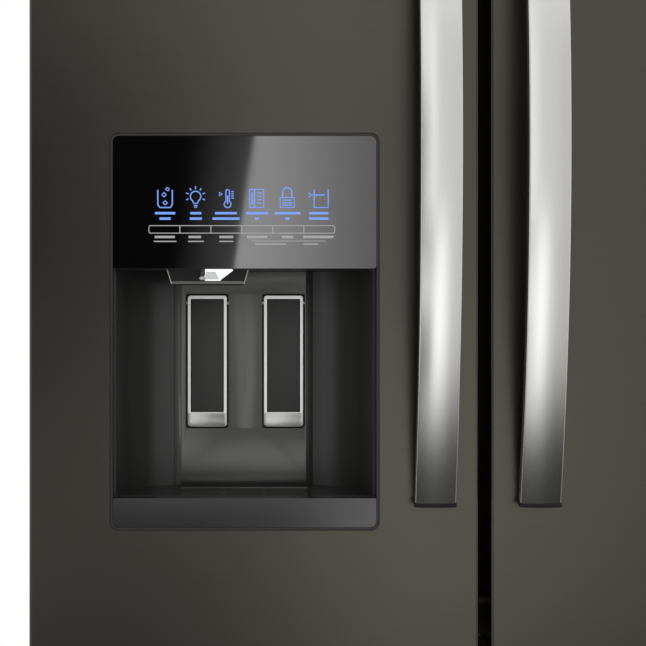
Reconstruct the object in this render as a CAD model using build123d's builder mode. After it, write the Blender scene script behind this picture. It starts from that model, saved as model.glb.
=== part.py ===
"""French door refrigerator, 36 inch class: two upper doors, a freezer drawer and a door dispenser.

Frame: millimetres, +Z up, the doors face -Y. X = 0 is the middle of the gap between the doors,
Z = 0 is the floor and Y = 0 is half way between the handles' fronts and the back of the cabinet.
"""
from build123d import *
import math
import os

os.makedirs("parts", exist_ok=True)

# ---------------------------------------------------------------- overall sizes
overall_width = 905.0
overall_depth = 908.0  # from the handles' fronts to the back
cabinet_height = 1743.0
hinge_cover_height = 38.0
sheet = 1.2  # painted steel sheet of wrap, doors and back
liner_wall = 2.0  # vacuum formed liners
fit = 0.3  # clearance between pieces that move past each other
pin_fit = 0.05  # radial running clearance of a pin

# ---------------------------------------------------------------- doors and drawer
door_thickness = 85.0
door_gap = 12.0
door_height = 1001.0
door_corner_radius = 3.0
drawer_height = 640.0
drawer_bottom = 85.0
hinge_gap = 10.0  # between the drawer's top and the doors' bottoms
gasket_thickness = 11.4
gasket_clearance = 0.6
gasket_width = 16.0
gasket_inset = 12.0
gasket_inset_free = 3.0  # from the door edge beside the gap
end_cap_height = 28.0
skin_return = 10.0
dike_height = 38.0
dike_width = 30.0
dike_inset_free = 50.0  # from the door edge beside the gap
dike_inset_hinge = 62.0  # from the door edge beside the hinge
dike_inset_end = 50.0  # from the door's top and bottom
drawer_dike_inset = 68.0
drawer_dike_height = 30.0

# ---------------------------------------------------------------- hinges
pivot_inset = 20.0  # pivot to the door's outer side
pivot_depth = 28.0  # pivot to the door's front
hinge_pin_radius = 5.0
hinge_pin_length = 24.0  # inside the door's end cap
hinge_plate = 3.0
hinge_nose = 11.0
centre_hinge_plate = 4.0

# ---------------------------------------------------------------- handles
handle_width = 40.0
handle_length = 716.0
handle_projection = 60.0
handle_end_standoff = 18.0
handle_thickness = 13.0
handle_crown = 1.6
handle_edge_radius = 1.2
handle_offset = 51.5  # bar centre to the middle of the gap
handle_foot_length = 34.0
handle_foot_width = 30.0
drawer_handle_drop = 62.0  # bar centre below the drawer's top

# ---------------------------------------------------------------- cabinet walls
side_wall = 45.5
top_wall = 45.0
back_wall = 64.0
rail_bottom = 700.0
rail_top = 765.0
freezer_floor = 130.0
wrap_bottom = 30.0
wrap_flange = 14.0
foam_bottom = 86.0
machine_front = 234.0  # front of the machine compartment
machine_top = 322.0
machine_insulation = 44.0
panel_recess = 8.0  # back panel in from the back of the wrap
liner_radius = 14.0

# ---------------------------------------------------------------- dispenser
dispenser_centre = -238.5
dispenser_bottom = 853.0
dispenser_width = 266.0
dispenser_height = 393.0
dispenser_radius = 8.0
dispenser_rim = 2.0
dispenser_seam = 1.0
bezel_depth = 14.0
bezel_flange = 6.0
bezel_flange_thickness = 1.5
control_glass_height = 132.0
control_glass_thickness = 4.5
control_plate = 3.5
niche_wall = 2.5
niche_half_front = 130.4
niche_half_middle = 120.5
niche_half_back = 74.0
niche_bend_depth = 54.0
niche_depth = 101.5
cove_radius = 12.0
niche_floor = 884.5
paddle_panel_width = 133.0
paddle_panel_depth = 99.0
paddle_width = 41.8
paddle_height = 139.6
paddle_thickness = 8.0
paddle_corner_radius = 3.0
paddle_pitch = 81.2
paddle_offset = 2.0  # middle of the pair to the right of the dispenser's middle
paddle_top = 1086.7
paddle_gap = 1.8
paddle_frame_side = 3.2
paddle_frame_top = 3.7
paddle_lip = 15.3
pad_recess = 1.6
paddle_travel_depth = 17.0
paddle_pin_radius = 1.5
tray_width = 134.0
tray_depth = 69.0
tray_height = 18.0
tray_bead = 1.2
grille_thickness = 2.5
chute_offset = 37.0  # duct's middle to the left of the dispenser's middle
chute_width = 82.0
chute_depth = 56.0
chute_wall = 2.0
chute_front = 22.0  # duct's front, behind the door's front
chute_inlet_top = 1500.0
chute_inlet_height = 52.0
funnel_drop = 15.0

# ---------------------------------------------------------------- mullion bar
mullion_pivot_x = -37.0
mullion_right = 25.0
mullion_thickness = 18.0
mullion_end_gap = 8.0
mullion_pin_radius = 2.5
mullion_lug_height = 14.0
mullion_pin_reach = 9.0  # pin length inside the bar, each side of a lug

# ---------------------------------------------------------------- inside fittings
shelf_front = -190.0
shelf_glass = 4.0
shelf_edge_gap = 5.0
shelf_bracket = 3.0
crisper_top = 1000.0
crisper_height = 222.0
crisper_front = -185.0
crisper_depth = 470.0
rack_height = 12.0
rack_ledge = 9.0
rack_ledge_height = 6.0
rack_bar = 22.0
plastic_wall = 3.0
ice_box_front = -230.0
ice_box_depth = 350.0
ice_box_width = 196.0
ice_box_bottom = 1436.0
ice_box_wall = 8.0
bin_wall = 3.0

# ---------------------------------------------------------------- running gear
rear_roller_radius = 25.0
front_roller_radius = 22.0
roller_width = 22.0
roller_axle_radius = 5.0
leg_foot_radius = 18.0
leg_stem_radius = 6.0

# ---------------------------------------------------------------- places worked out
half_width = overall_width / 2
door_front = -overall_depth / 2 + handle_projection
door_back = door_front + door_thickness
case_front = door_back + gasket_thickness + gasket_clearance
case_back = overall_depth / 2
drawer_top = drawer_bottom + drawer_height
door_bottom = drawer_top + hinge_gap
door_top = door_bottom + door_height
door_middle = (door_bottom + door_top) / 2
door_width = (overall_width - door_gap) / 2
pivot_x = half_width - pivot_inset
pivot_y = door_front + pivot_depth
inner_half = half_width - side_wall
fresh_top = cabinet_height - top_wall
cavity_back = case_back - back_wall
panel_back = case_back - panel_recess
freezer_step_y = machine_front - machine_insulation - liner_wall
freezer_step_z = machine_top + machine_insulation + liner_wall
frame_half = half_width - sheet  # inside of the wrap


def block(x0, x1, y0, y1, z0, z1, mode=Mode.ADD):
    """Adds (or cuts) a rectangular block between two corners."""
    with Locations(((x0 + x1) / 2, (y0 + y1) / 2, (z0 + z1) / 2)):
        Box(abs(x1 - x0), abs(y1 - y0), abs(z1 - z0), mode=mode)


def rod(start, direction, radius, length, mode=Mode.ADD):
    """Adds (or cuts) a cylinder from a start point along a direction."""
    with Locations(Plane(origin=start, z_dir=direction)):
        Cylinder(radius, length, align=(Align.CENTER, Align.CENTER, Align.MIN), mode=mode)


def save(part, name):
    """Labels a finished piece and writes its STEP file."""
    part.label = name
    export_step(part, f"parts/{name}.step")


def facing(y):
    """The plane at depth y that faces the front, with local x, y along X, Z."""
    return Plane.XZ.offset(-y)


# ================================================================ cabinet shell
with BuildPart() as outer_wrap:
    with BuildSketch(facing(case_back)):
        with Locations((0, (wrap_bottom + cabinet_height) / 2)):
            RectangleRounded(overall_width, cabinet_height - wrap_bottom, 5)
        with Locations((0, (wrap_bottom + cabinet_height) / 2 - 20)):
            Rectangle(2 * frame_half, cabinet_height - wrap_bottom + 40 - 2 * sheet, mode=Mode.SUBTRACT)
    extrude(amount=case_back - case_front)
    for y in (case_front, case_back - sheet):
        with BuildSketch(facing(y + sheet)):
            with Locations((0, (wrap_bottom + cabinet_height) / 2)):
                Rectangle(2 * frame_half, cabinet_height - wrap_bottom - 2 * sheet)
            with Locations((0, (wrap_bottom + cabinet_height) / 2 - wrap_flange)):
                Rectangle(2 * (frame_half - wrap_flange), cabinet_height - wrap_bottom, mode=Mode.SUBTRACT)
        extrude(amount=sheet)
save(outer_wrap.part, "outer_wrap")

# back sheet with three pressed stiffening beads
bead_width = 26.0
bead_depth = 4.0
bead_pitch = 260.0
with BuildPart() as back_panel:
    block(-frame_half, frame_half, panel_back - sheet, panel_back, machine_top, cabinet_height - sheet)
    bead_length = cabinet_height - machine_top - 260
    with BuildSketch(Plane(origin=(0, panel_back, (cabinet_height + machine_top) / 2), x_dir=(1, 0, 0), z_dir=(0, 1, 0))):
        with GridLocations(bead_pitch, 1, 3, 1):
            SlotOverall(bead_length, bead_width, rotation=90)
    extrude(amount=bead_depth, taper=25)
    with BuildSketch(Plane(origin=(0, panel_back - sheet, (cabinet_height + machine_top) / 2), x_dir=(1, 0, 0), z_dir=(0, 1, 0))):
        with GridLocations(bead_pitch, 1, 3, 1):
            SlotOverall(bead_length - 2 * sheet, bead_width - 2 * sheet, rotation=90)
    extrude(amount=bead_depth, taper=25, mode=Mode.SUBTRACT)
save(back_panel.part, "back_panel")

# fresh food liner: a formed box with rounded corners and a front flange
fresh_middle = (rail_top + fresh_top) / 2
fresh_height = fresh_top - rail_top
rail_face_top = rail_top - 5
rail_face_bottom = rail_bottom + 5
with BuildPart() as fresh_food_liner:
    with BuildSketch(facing(cavity_back + liner_wall)):
        with Locations((0, fresh_middle)):
            RectangleRounded(2 * (inner_half + liner_wall), fresh_height + 2 * liner_wall, liner_radius + liner_wall)
    extrude(amount=cavity_back + liner_wall - case_front)
    flange_top = cabinet_height - wrap_flange
    flange_half = frame_half - wrap_flange
    block(-flange_half, flange_half, case_front, case_front + liner_wall, rail_face_top, flange_top)
    with BuildSketch(facing(cavity_back)):
        with Locations((0, fresh_middle)):
            RectangleRounded(2 * inner_half, fresh_height, liner_radius)
    extrude(amount=cavity_back - case_front, mode=Mode.SUBTRACT)
    # ledges under the crisper rack
    for side in (-1, 1):
        block(side * (inner_half - rack_ledge), side * (inner_half + liner_wall / 2), crisper_front, cavity_back - 40,
              crisper_top - rack_ledge_height, crisper_top)
save(fresh_food_liner.part, "fresh_food_liner")

# freezer liner: stepped over the machine compartment, with basket ribs on its sides
basket_rib_top = 620.0
basket_rib_height = 8.0
basket_rib_width = 17.0
upper_basket_front = -240.0
upper_basket_back = 340.0


def freezer_profile(grow):
    """The stepped side outline of the freezer cavity, grown outwards by a wall."""
    return [
        (case_front, freezer_floor - grow),
        (freezer_step_y + grow, freezer_floor - grow),
        (freezer_step_y + grow, freezer_step_z - grow),
        (cavity_back + grow, freezer_step_z - grow),
        (cavity_back + grow, rail_bottom + grow),
        (case_front, rail_bottom + grow),
    ]


with BuildPart() as freezer_liner:
    with BuildSketch(Plane.YZ.offset(-inner_half - liner_wall)):
        with BuildLine():
            Polyline(*freezer_profile(liner_wall), close=True)
        make_face()
    extrude(amount=2 * (inner_half + liner_wall))
    block(-flange_half, flange_half, case_front, case_front + liner_wall, foam_bottom, rail_face_bottom)
    with BuildSketch(Plane.YZ.offset(-inner_half)):
        with BuildLine():
            Polyline(*freezer_profile(0), close=True)
        make_face()
    extrude(amount=2 * inner_half, mode=Mode.SUBTRACT)
    for side in (-1, 1):
        block(side * (inner_half - basket_rib_width), side * inner_half, upper_basket_front, upper_basket_back,
              basket_rib_top - basket_rib_height, basket_rib_top)
save(freezer_liner.part, "freezer_liner")

# centre rail: box section between the two openings, under the door gaskets
rail_depth = 34.0
rail_sheet = 1.5
with BuildPart() as centre_rail:
    block(-flange_half, flange_half, case_front, case_front + rail_depth, rail_face_bottom, rail_face_top)
    block(-flange_half, flange_half, case_front + rail_sheet, case_front + rail_depth,
          rail_face_bottom + rail_sheet, rail_face_top - rail_sheet, mode=Mode.SUBTRACT)
save(centre_rail.part, "centre_rail")

# insulation between wrap and liners
with BuildPart() as cabinet_foam:
    block(-frame_half, frame_half, case_front + liner_wall, panel_back - sheet, foam_bottom, cabinet_height - sheet)
    with BuildSketch(facing(cavity_back + liner_wall)):
        with Locations((0, fresh_middle)):
            RectangleRounded(2 * (inner_half + liner_wall), fresh_height + 2 * liner_wall, liner_radius + liner_wall)
    extrude(amount=cavity_back + liner_wall - case_front, mode=Mode.SUBTRACT)
    with BuildSketch(Plane.YZ.offset(-inner_half - liner_wall)):
        with BuildLine():
            Polyline(*freezer_profile(liner_wall), close=True)
        make_face()
    extrude(amount=2 * (inner_half + liner_wall), mode=Mode.SUBTRACT)
    block(-flange_half, flange_half, case_front, case_front + rail_depth, rail_face_bottom, rail_face_top,
          mode=Mode.SUBTRACT)
    block(-half_width, half_width, machine_front, case_back, 0, machine_top, mode=Mode.SUBTRACT)
save(cabinet_foam.part, "cabinet_foam")

# ================================================================ base and running gear
base_sheet = 2.5
rail_in = frame_half - 3
deck_z = 40.0
track_inner = rail_in - base_sheet - 46
track_middle = (track_inner + rail_in - base_sheet) / 2
rear_roller_y = 400.0
front_roller_y = case_front + 118
leg_x = 372.0
leg_y = case_front + 36
cross_y = case_front + 64
cheek_bottom = 12.0
frame_bottom = 24.0
rollers = {
    "front": (front_roller_y, front_roller_radius + 1.0, front_roller_radius, foam_bottom - base_sheet),
    "rear": (rear_roller_y, rear_roller_radius, rear_roller_radius, deck_z + 34),
}
with BuildPart() as base_frame:
    # floor pan under the freezer and deck under the machines
    block(-rail_in, rail_in, case_front + liner_wall, machine_front, foam_bottom - base_sheet, foam_bottom)
    block(-track_inner, track_inner, machine_front, panel_back - 16, deck_z, deck_z + base_sheet)
    # partition between machines and insulation
    block(-rail_in, rail_in, machine_front, machine_front + base_sheet, deck_z, machine_top)
    block(-rail_in, rail_in, machine_front, panel_back - 16, machine_top - base_sheet, machine_top)
    # front cross member
    block(-rail_in, rail_in, cross_y, cross_y + base_sheet, frame_bottom, foam_bottom - base_sheet)
    for side in (-1, 1):
        block(side * (rail_in - base_sheet), side * rail_in, case_front + 14, panel_back - 16, frame_bottom, foam_bottom)
        block(side * (track_inner - base_sheet), side * track_inner, front_roller_y - 32, front_roller_y + 32,
              cheek_bottom, foam_bottom - base_sheet)
        block(side * (track_inner - base_sheet), side * track_inner, machine_front, panel_back - 16,
              cheek_bottom, deck_z + 34)
        # levelling leg shelf
        block(side * (leg_x - 24), side * (leg_x + 24), leg_y - 20, cross_y, frame_bottom, frame_bottom + base_sheet)
        block(side * (leg_x - 24), side * (leg_x - 24 + base_sheet), leg_y - 20, cross_y, frame_bottom,
              foam_bottom - base_sheet)
        with Locations((side * leg_x, leg_y, frame_bottom + base_sheet / 2)):
            Cylinder(leg_stem_radius + 0.2, base_sheet * 2, mode=Mode.SUBTRACT)
        # axle pins with shoulders beside each roller
        for y, z, radius, top in rollers.values():
            rod((side * (track_inner - 6), y, z), (side, 0, 0), roller_axle_radius, rail_in - track_inner + 4)
            shoulder = (rail_in - base_sheet - track_inner - roller_width) / 2 - fit
            rod((side * track_inner, y, z), (side, 0, 0), roller_axle_radius + 4, shoulder)
            rod((side * (rail_in - base_sheet), y, z), (-side, 0, 0), roller_axle_radius + 4, shoulder)
save(base_frame.part, "base_frame")

for name, (y, z, radius, top) in rollers.items():
    with BuildPart() as roller_pair:
        for side in (-1, 1):
            start = track_middle - roller_width / 2
            with BuildSketch(Plane.XY.offset(z)):
                with BuildLine():
                    Polyline(
                        (side * start, y + roller_axle_radius + pin_fit),
                        (side * start, y + radius * 0.5),
                        (side * (start + 4), y + radius * 0.55),
                        (side * (start + 4), y + radius * 0.78),
                        (side * start, y + radius * 0.82),
                        (side * start, y + radius - 2),
                        (side * (start + 2), y + radius),
                        (side * (start + roller_width - 2), y + radius),
                        (side * (start + roller_width), y + radius - 2),
                        (side * (start + roller_width), y + roller_axle_radius + pin_fit),
                        close=True,
                    )
                make_face()
            revolve(axis=Axis((0, y, z), (1, 0, 0)))
    save(roller_pair.part, f"{name}_rollers")

with BuildPart() as levelling_legs:
    for side in (-1, 1):
        with BuildSketch(Plane.XY):
            with Locations((side * leg_x, leg_y)):
                RegularPolygon(leg_foot_radius, 6)
        extrude(amount=9)
        rod((side * leg_x, leg_y, 9), (0, 0, 1), leg_stem_radius, foam_bottom - base_sheet - 9)
save(levelling_legs.part, "levelling_legs")

# toe grille: moulded louvre panel clipped on the front of the base
grille_top = drawer_bottom - 9
grille_bottom = 14.0
grille_wall = 3.0
grille_front = case_front - 4
with BuildPart() as toe_grille:
    with BuildSketch(facing(grille_front + grille_wall)):
        with Locations((0, (grille_top + grille_bottom) / 2)):
            RectangleRounded(overall_width - 16, grille_top - grille_bottom, 4)
        with Locations((0, (grille_top + grille_bottom) / 2)):
            with GridLocations(82, 12, 10, 4):
                Rectangle(74, 5, mode=Mode.SUBTRACT)
    extrude(amount=grille_wall)
    block(-flange_half, flange_half, grille_front + grille_wall, case_front + liner_wall, grille_top - grille_wall, grille_top)
    for x in (-rail_in + 22, -leg_x + 60, leg_x - 60, rail_in - 22):
        block(x - 8, x + 8, grille_front + grille_wall, cross_y if abs(x) < leg_x else case_front + 14, 56, 56 + grille_wall)
save(toe_grille.part, "toe_grille")

# ================================================================ hinges and covers
with BuildPart() as door_hinges:
    for side in (-1, 1):
        # top hinge: plate on the cabinet roof with a pin that drops into the door
        with BuildSketch(Plane.XY.offset(cabinet_height)):
            with BuildLine():
                Polyline(
                    (side * (half_width - 12), case_front + 100),
                    (side * (half_width - 84), case_front + 100),
                    (side * (half_width - 84), case_front + 28),
                    (side * (pivot_x - hinge_nose), case_front - 20),
                    (side * (pivot_x - hinge_nose), pivot_y),
                    (side * (pivot_x + hinge_nose), pivot_y),
                    (side * (pivot_x + hinge_nose), case_front + 20),
                    (side * (half_width - 12), case_front + 40),
                    close=True,
                )
            make_face()
            with Locations((side * pivot_x, pivot_y)):
                Circle(hinge_nose)
            with Locations((side * (half_width - 34), case_front + 84), (side * (half_width - 66), case_front + 84),
                           (side * (half_width - 50), case_front + 50)):
                Circle(3.2, mode=Mode.SUBTRACT)
        extrude(amount=hinge_plate)
        rod((side * pivot_x, pivot_y, cabinet_height), (0, 0, -1), hinge_pin_radius,
            cabinet_height - door_top + hinge_pin_length)
        # centre hinge: leg on the cabinet's front, plate between drawer and door, pin upwards
        plate_z = (drawer_top + door_bottom - centre_hinge_plate) / 2
        block(side * (half_width - 62), side * (half_width - 10), case_front - hinge_plate, case_front,
              plate_z - 13, plate_z + 15)
        with BuildSketch(Plane.XY.offset(plate_z)):
            with BuildLine():
                Polyline(
                    (side * (half_width - 62), case_front),
                    (side * (half_width - 62), case_front - 8),
                    (side * (pivot_x - 12), pivot_y),
                    (side * (pivot_x + 12), pivot_y),
                    (side * (half_width - 10), case_front - 14),
                    (side * (half_width - 10), case_front),
                    close=True,
                )
            make_face()
            with Locations((side * pivot_x, pivot_y)):
                Circle(12)
        extrude(amount=centre_hinge_plate)
        rod((side * pivot_x, pivot_y, plate_z), (0, 0, 1), hinge_pin_radius,
            door_bottom - plate_z + hinge_pin_length)
save(door_hinges.part, "door_hinges")

cover_length = 206.0
cover_width = 104.0
with BuildPart() as hinge_covers:
    for side in (-1, 1):
        cover_x = side * (half_width - 5 - cover_width / 2)
        cover_y = door_front + 8 + cover_length / 2
        with BuildSketch(Plane.XY.offset(cabinet_height)):
            with Locations((cover_x, cover_y)):
                RectangleRounded(cover_width, cover_length, 10)
        extrude(amount=hinge_cover_height, taper=4)
    fillet(hinge_covers.part.faces().filter_by(Axis.Z).group_by(Axis.Z)[-1].edges(), 6)
    for side in (-1, 1):
        cover_x = side * (half_width - 5 - cover_width / 2)
        with BuildSketch(Plane.XY.offset(cabinet_height)):
            with Locations((cover_x, cover_y)):
                RectangleRounded(cover_width - 5, cover_length - 5, 8)
        extrude(amount=hinge_cover_height - 3, taper=6, mode=Mode.SUBTRACT)
save(hinge_covers.part, "hinge_covers")


# ================================================================ doors
def ring_prism(x0, x1, z0, z1, width, height, shrink, mode=Mode.ADD):
    """A tapered rectangular ring standing back from the doors, drawn in by shrink on every side."""
    with BuildSketch(Plane(origin=(0, door_back, 0), x_dir=(1, 0, 0), z_dir=(0, 1, 0))) as ring:
        with Locations(((x0 + x1) / 2, -(z0 + z1) / 2)):
            Rectangle(abs(x1 - x0) - 2 * shrink, z1 - z0 - 2 * shrink)
            Rectangle(abs(x1 - x0) - 2 * width + 2 * shrink, z1 - z0 - 2 * width + 2 * shrink, mode=Mode.SUBTRACT)
    extrude(ring.sketch, amount=height - shrink, taper=5, mode=mode)


def gasket_ring(x0, x1, z0, z1):
    """The magnetic gasket: a soft ring with a bellows groove on its outer and inner sides."""
    steps = ((0, gasket_width), (3, gasket_width - 5), (6, gasket_width))
    for index, (start, width) in enumerate(steps):
        end = steps[index + 1][0] if index + 1 < len(steps) else gasket_thickness - liner_wall
        lip = (gasket_width - width) / 2
        with BuildSketch(facing(door_back + liner_wall + end)) as ring:
            with Locations(((x0 + x1) / 2, (z0 + z1) / 2)):
                Rectangle(abs(x1 - x0) - 2 * lip, z1 - z0 - 2 * lip)
                Rectangle(abs(x1 - x0) - 2 * lip - 2 * width, z1 - z0 - 2 * lip - 2 * width, mode=Mode.SUBTRACT)
        extrude(ring.sketch, amount=end - start)


dispenser_top = dispenser_bottom + dispenser_height
dispenser_middle = (dispenser_bottom + dispenser_top) / 2
glass_top = dispenser_top - dispenser_rim
glass_bottom = glass_top - control_glass_height
niche_roof = glass_bottom
pocket_depth = paddle_panel_depth + paddle_thickness + paddle_travel_depth - 1.5
housing_back = door_front + pocket_depth + niche_wall
chute_x = dispenser_centre - chute_offset
flange_half_width = dispenser_width / 2 + bezel_flange
flange_half_height = dispenser_height / 2 + bezel_flange
chute_end_y = ice_box_front - gasket_clearance
bulge_cover = 14.0  # insulation behind the dispenser
bulge_back = housing_back + bulge_cover
bulge_half = dispenser_width / 2 + 8
bulge_bottom = dispenser_bottom - 12
bulge_top = glass_bottom + 26
cap_pocket = 5.0
pin_bore_depth = hinge_pin_length + 2
lug_levels = (rail_top + 60, fresh_middle, fresh_top - 60)

for name, side in (("left", -1), ("right", 1)):
    inner_x = side * door_gap / 2
    outer_x = side * half_width
    door_x = (inner_x + outer_x) / 2
    door_y = (door_front + door_back) / 2
    ring_x0 = inner_x + side * dike_inset_free
    ring_x1 = outer_x - side * dike_inset_hinge
    ring_z0 = door_bottom + dike_inset_end
    ring_z1 = door_top - dike_inset_end

    with BuildPart() as door_skin:
        with BuildSketch(Plane.XY.offset(door_bottom)) as skin_plan:
            with Locations((door_x, door_y)):
                Rectangle(door_width, door_thickness)
            fillet(skin_plan.vertices().group_by(Axis.Y)[0], door_corner_radius)
            with Locations((door_x, door_y)):
                Rectangle(door_width - 2 * sheet, door_thickness - 2 * sheet, mode=Mode.SUBTRACT)
            with Locations((door_x, door_back)):
                Rectangle(door_width - 2 * skin_return, 4 * sheet, mode=Mode.SUBTRACT)
        extrude(amount=door_height)
        if side < 0:
            with BuildSketch(facing(door_front + 2 * sheet)):
                with Locations((dispenser_centre, dispenser_middle)):
                    RectangleRounded(dispenser_width + 2 * dispenser_seam, dispenser_height + 2 * dispenser_seam,
                                     dispenser_radius + dispenser_seam)
            extrude(amount=4 * sheet, mode=Mode.SUBTRACT)
    save(door_skin.part, f"{name}_door_skin")

    with BuildPart() as end_caps:
        for cap_z, outward in ((door_bottom, 1), (door_top, -1)):
            cap_x0 = door_x - door_width / 2 + sheet
            cap_x1 = door_x + door_width / 2 - sheet
            block(cap_x0, cap_x1, door_front + sheet, door_back - sheet, cap_z, cap_z + outward * end_cap_height)
            with BuildSketch(Plane.XY.offset(cap_z)):
                with Locations((door_x, door_y)):
                    RectangleRounded(door_width - 18, door_thickness - 18, 6)
                with Locations((side * pivot_x, pivot_y)):
                    Circle(13, mode=Mode.SUBTRACT)
                with Locations((door_x, door_y)):
                    with GridLocations(70, 1, 4, 1):
                        Rectangle(3, door_thickness, mode=Mode.SUBTRACT)
            extrude(amount=outward * cap_pocket, mode=Mode.SUBTRACT)
            rod((side * pivot_x, pivot_y, cap_z), (0, 0, outward), hinge_pin_radius + pin_fit, pin_bore_depth,
                mode=Mode.SUBTRACT)
    save(end_caps.part, f"{name}_door_end_caps")

    with BuildPart() as door_foam:
        block(door_x - door_width / 2 + sheet, door_x + door_width / 2 - sheet, door_front + sheet, door_back - sheet,
              door_bottom + end_cap_height, door_top - end_cap_height)
        block(door_x - door_width / 2 + skin_return, door_x + door_width / 2 - skin_return, door_back - sheet,
              door_back, door_bottom + end_cap_height, door_top - end_cap_height)
        ring_prism(ring_x0, ring_x1, ring_z0, ring_z1, dike_width, dike_height, liner_wall)
        if side < 0:
            with BuildSketch(Plane(origin=(0, door_back, 0), x_dir=(1, 0, 0), z_dir=(0, 1, 0))):
                with Locations((dispenser_centre, -(bulge_bottom + bulge_top) / 2)):
                    Rectangle(2 * (bulge_half - liner_wall), bulge_top - bulge_bottom - 2 * liner_wall)
            extrude(amount=bulge_back - door_back - liner_wall, taper=5)
            block(dispenser_centre - dispenser_width / 2, dispenser_centre + dispenser_width / 2, door_front,
                  housing_back, dispenser_bottom, glass_bottom + niche_wall, mode=Mode.SUBTRACT)
            block(dispenser_centre - dispenser_width / 2, dispenser_centre + dispenser_width / 2, door_front,
                  door_front + bezel_depth, dispenser_bottom, dispenser_top, mode=Mode.SUBTRACT)
            block(dispenser_centre - flange_half_width, dispenser_centre + flange_half_width, door_front,
                  door_front + sheet + bezel_flange_thickness, dispenser_middle - flange_half_height,
                  dispenser_middle + flange_half_height, mode=Mode.SUBTRACT)
            block(chute_x - chute_width / 2, chute_x + chute_width / 2, door_front + chute_front,
                  door_front + chute_front + chute_depth, niche_roof, chute_inlet_top, mode=Mode.SUBTRACT)
            block(chute_x - chute_width / 2, chute_x + chute_width / 2, door_front + chute_front, bulge_back,
                  chute_inlet_top - chute_inlet_height, chute_inlet_top, mode=Mode.SUBTRACT)
    save(door_foam.part, f"{name}_door_foam")

    with BuildPart() as door_liner:
        plate_edge = 9.0
        block(door_x - door_width / 2 + plate_edge, door_x + door_width / 2 - plate_edge, door_back,
              door_back + liner_wall, door_bottom + plate_edge, door_top - plate_edge)
        ring_prism(ring_x0, ring_x1, ring_z0, ring_z1, dike_width, dike_height, 0)
        if side < 0:
            with BuildSketch(Plane(origin=(0, door_back, 0), x_dir=(1, 0, 0), z_dir=(0, 1, 0))):
                with Locations((dispenser_centre, -(bulge_bottom + bulge_top) / 2)):
                    Rectangle(2 * bulge_half, bulge_top - bulge_bottom)
            extrude(amount=bulge_back - door_back, taper=5)
        ring_prism(ring_x0, ring_x1, ring_z0, ring_z1, dike_width, dike_height, liner_wall, mode=Mode.SUBTRACT)
        if side < 0:
            with BuildSketch(Plane(origin=(0, door_back, 0), x_dir=(1, 0, 0), z_dir=(0, 1, 0))):
                with Locations((dispenser_centre, -(bulge_bottom + bulge_top) / 2)):
                    Rectangle(2 * (bulge_half - liner_wall), bulge_top - bulge_bottom - 2 * liner_wall)
            extrude(amount=bulge_back - door_back - liner_wall, taper=5, mode=Mode.SUBTRACT)
            block(chute_x - chute_width / 2, chute_x + chute_width / 2, door_front, chute_end_y,
                  chute_inlet_top - chute_inlet_height, chute_inlet_top, mode=Mode.SUBTRACT)
            # lugs and pins that carry the mullion bar
            lug_half = mullion_thickness / 4
            pivot_line_y = case_front + mullion_thickness / 2
            for level in lug_levels:
                block(inner_x - dike_inset_free - liner_wall, mullion_pivot_x, pivot_line_y - lug_half,
                      pivot_line_y + lug_half, level - mullion_lug_height / 2, level + mullion_lug_height / 2)
                rod((mullion_pivot_x, pivot_line_y, level - mullion_lug_height / 2), (0, 0, 1), lug_half,
                    mullion_lug_height)
                rod((mullion_pivot_x, pivot_line_y, level - mullion_lug_height / 2 - mullion_pin_reach), (0, 0, 1),
                    mullion_pin_radius, mullion_lug_height + 2 * mullion_pin_reach)
    save(door_liner.part, f"{name}_door_liner")

    with BuildPart() as door_gasket:
        gasket_ring(inner_x + side * gasket_inset_free, outer_x - side * gasket_inset, door_bottom + gasket_inset,
                    door_top - gasket_inset)
    save(door_gasket.part, f"{name}_door_gasket")

    # bins between the liner's two dikes: floor height, wall height, depth
    bins = {
        "left": ((1146.0, 92.0, 100.0), (1306.0, 92.0, 100.0)),
        "right": ((822.0, 112.0, 70.0), (1046.0, 96.0, 100.0), (1262.0, 96.0, 100.0), (1478.0, 96.0, 100.0)),
    }[name]
    bin_x = (ring_x0 + ring_x1) / 2
    bin_width = abs(ring_x1 - ring_x0) - 2 * dike_width - 2 * fit
    bin_back = door_back + liner_wall
    with BuildPart() as door_bins:
        for bin_z, bin_height, bin_depth in bins:
            with BuildSketch(Plane.XY.offset(bin_z)) as bin_plan:
                with Locations((bin_x, bin_back + bin_depth / 2)):
                    Rectangle(bin_width, bin_depth)
                fillet(bin_plan.vertices().group_by(Axis.Y)[-1], 22)
            extrude(amount=bin_height)
            with BuildSketch(Plane.XY.offset(bin_z + bin_wall)) as bin_inside:
                with Locations((bin_x, bin_back + bin_depth / 2)):
                    Rectangle(bin_width - 2 * bin_wall, bin_depth - 2 * bin_wall)
                fillet(bin_inside.vertices().group_by(Axis.Y)[-1], 22 - bin_wall)
            extrude(amount=bin_height, mode=Mode.SUBTRACT)
            # the wall by the liner is lower than the guard
            block(bin_x - bin_width / 2 + 14, bin_x + bin_width / 2 - 14, bin_back - 1, bin_back + bin_wall + 1,
                  bin_z + bin_height * 0.6, bin_z + bin_height + 1, mode=Mode.SUBTRACT)
    save(door_bins.part, f"{name}_door_bins")

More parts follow.
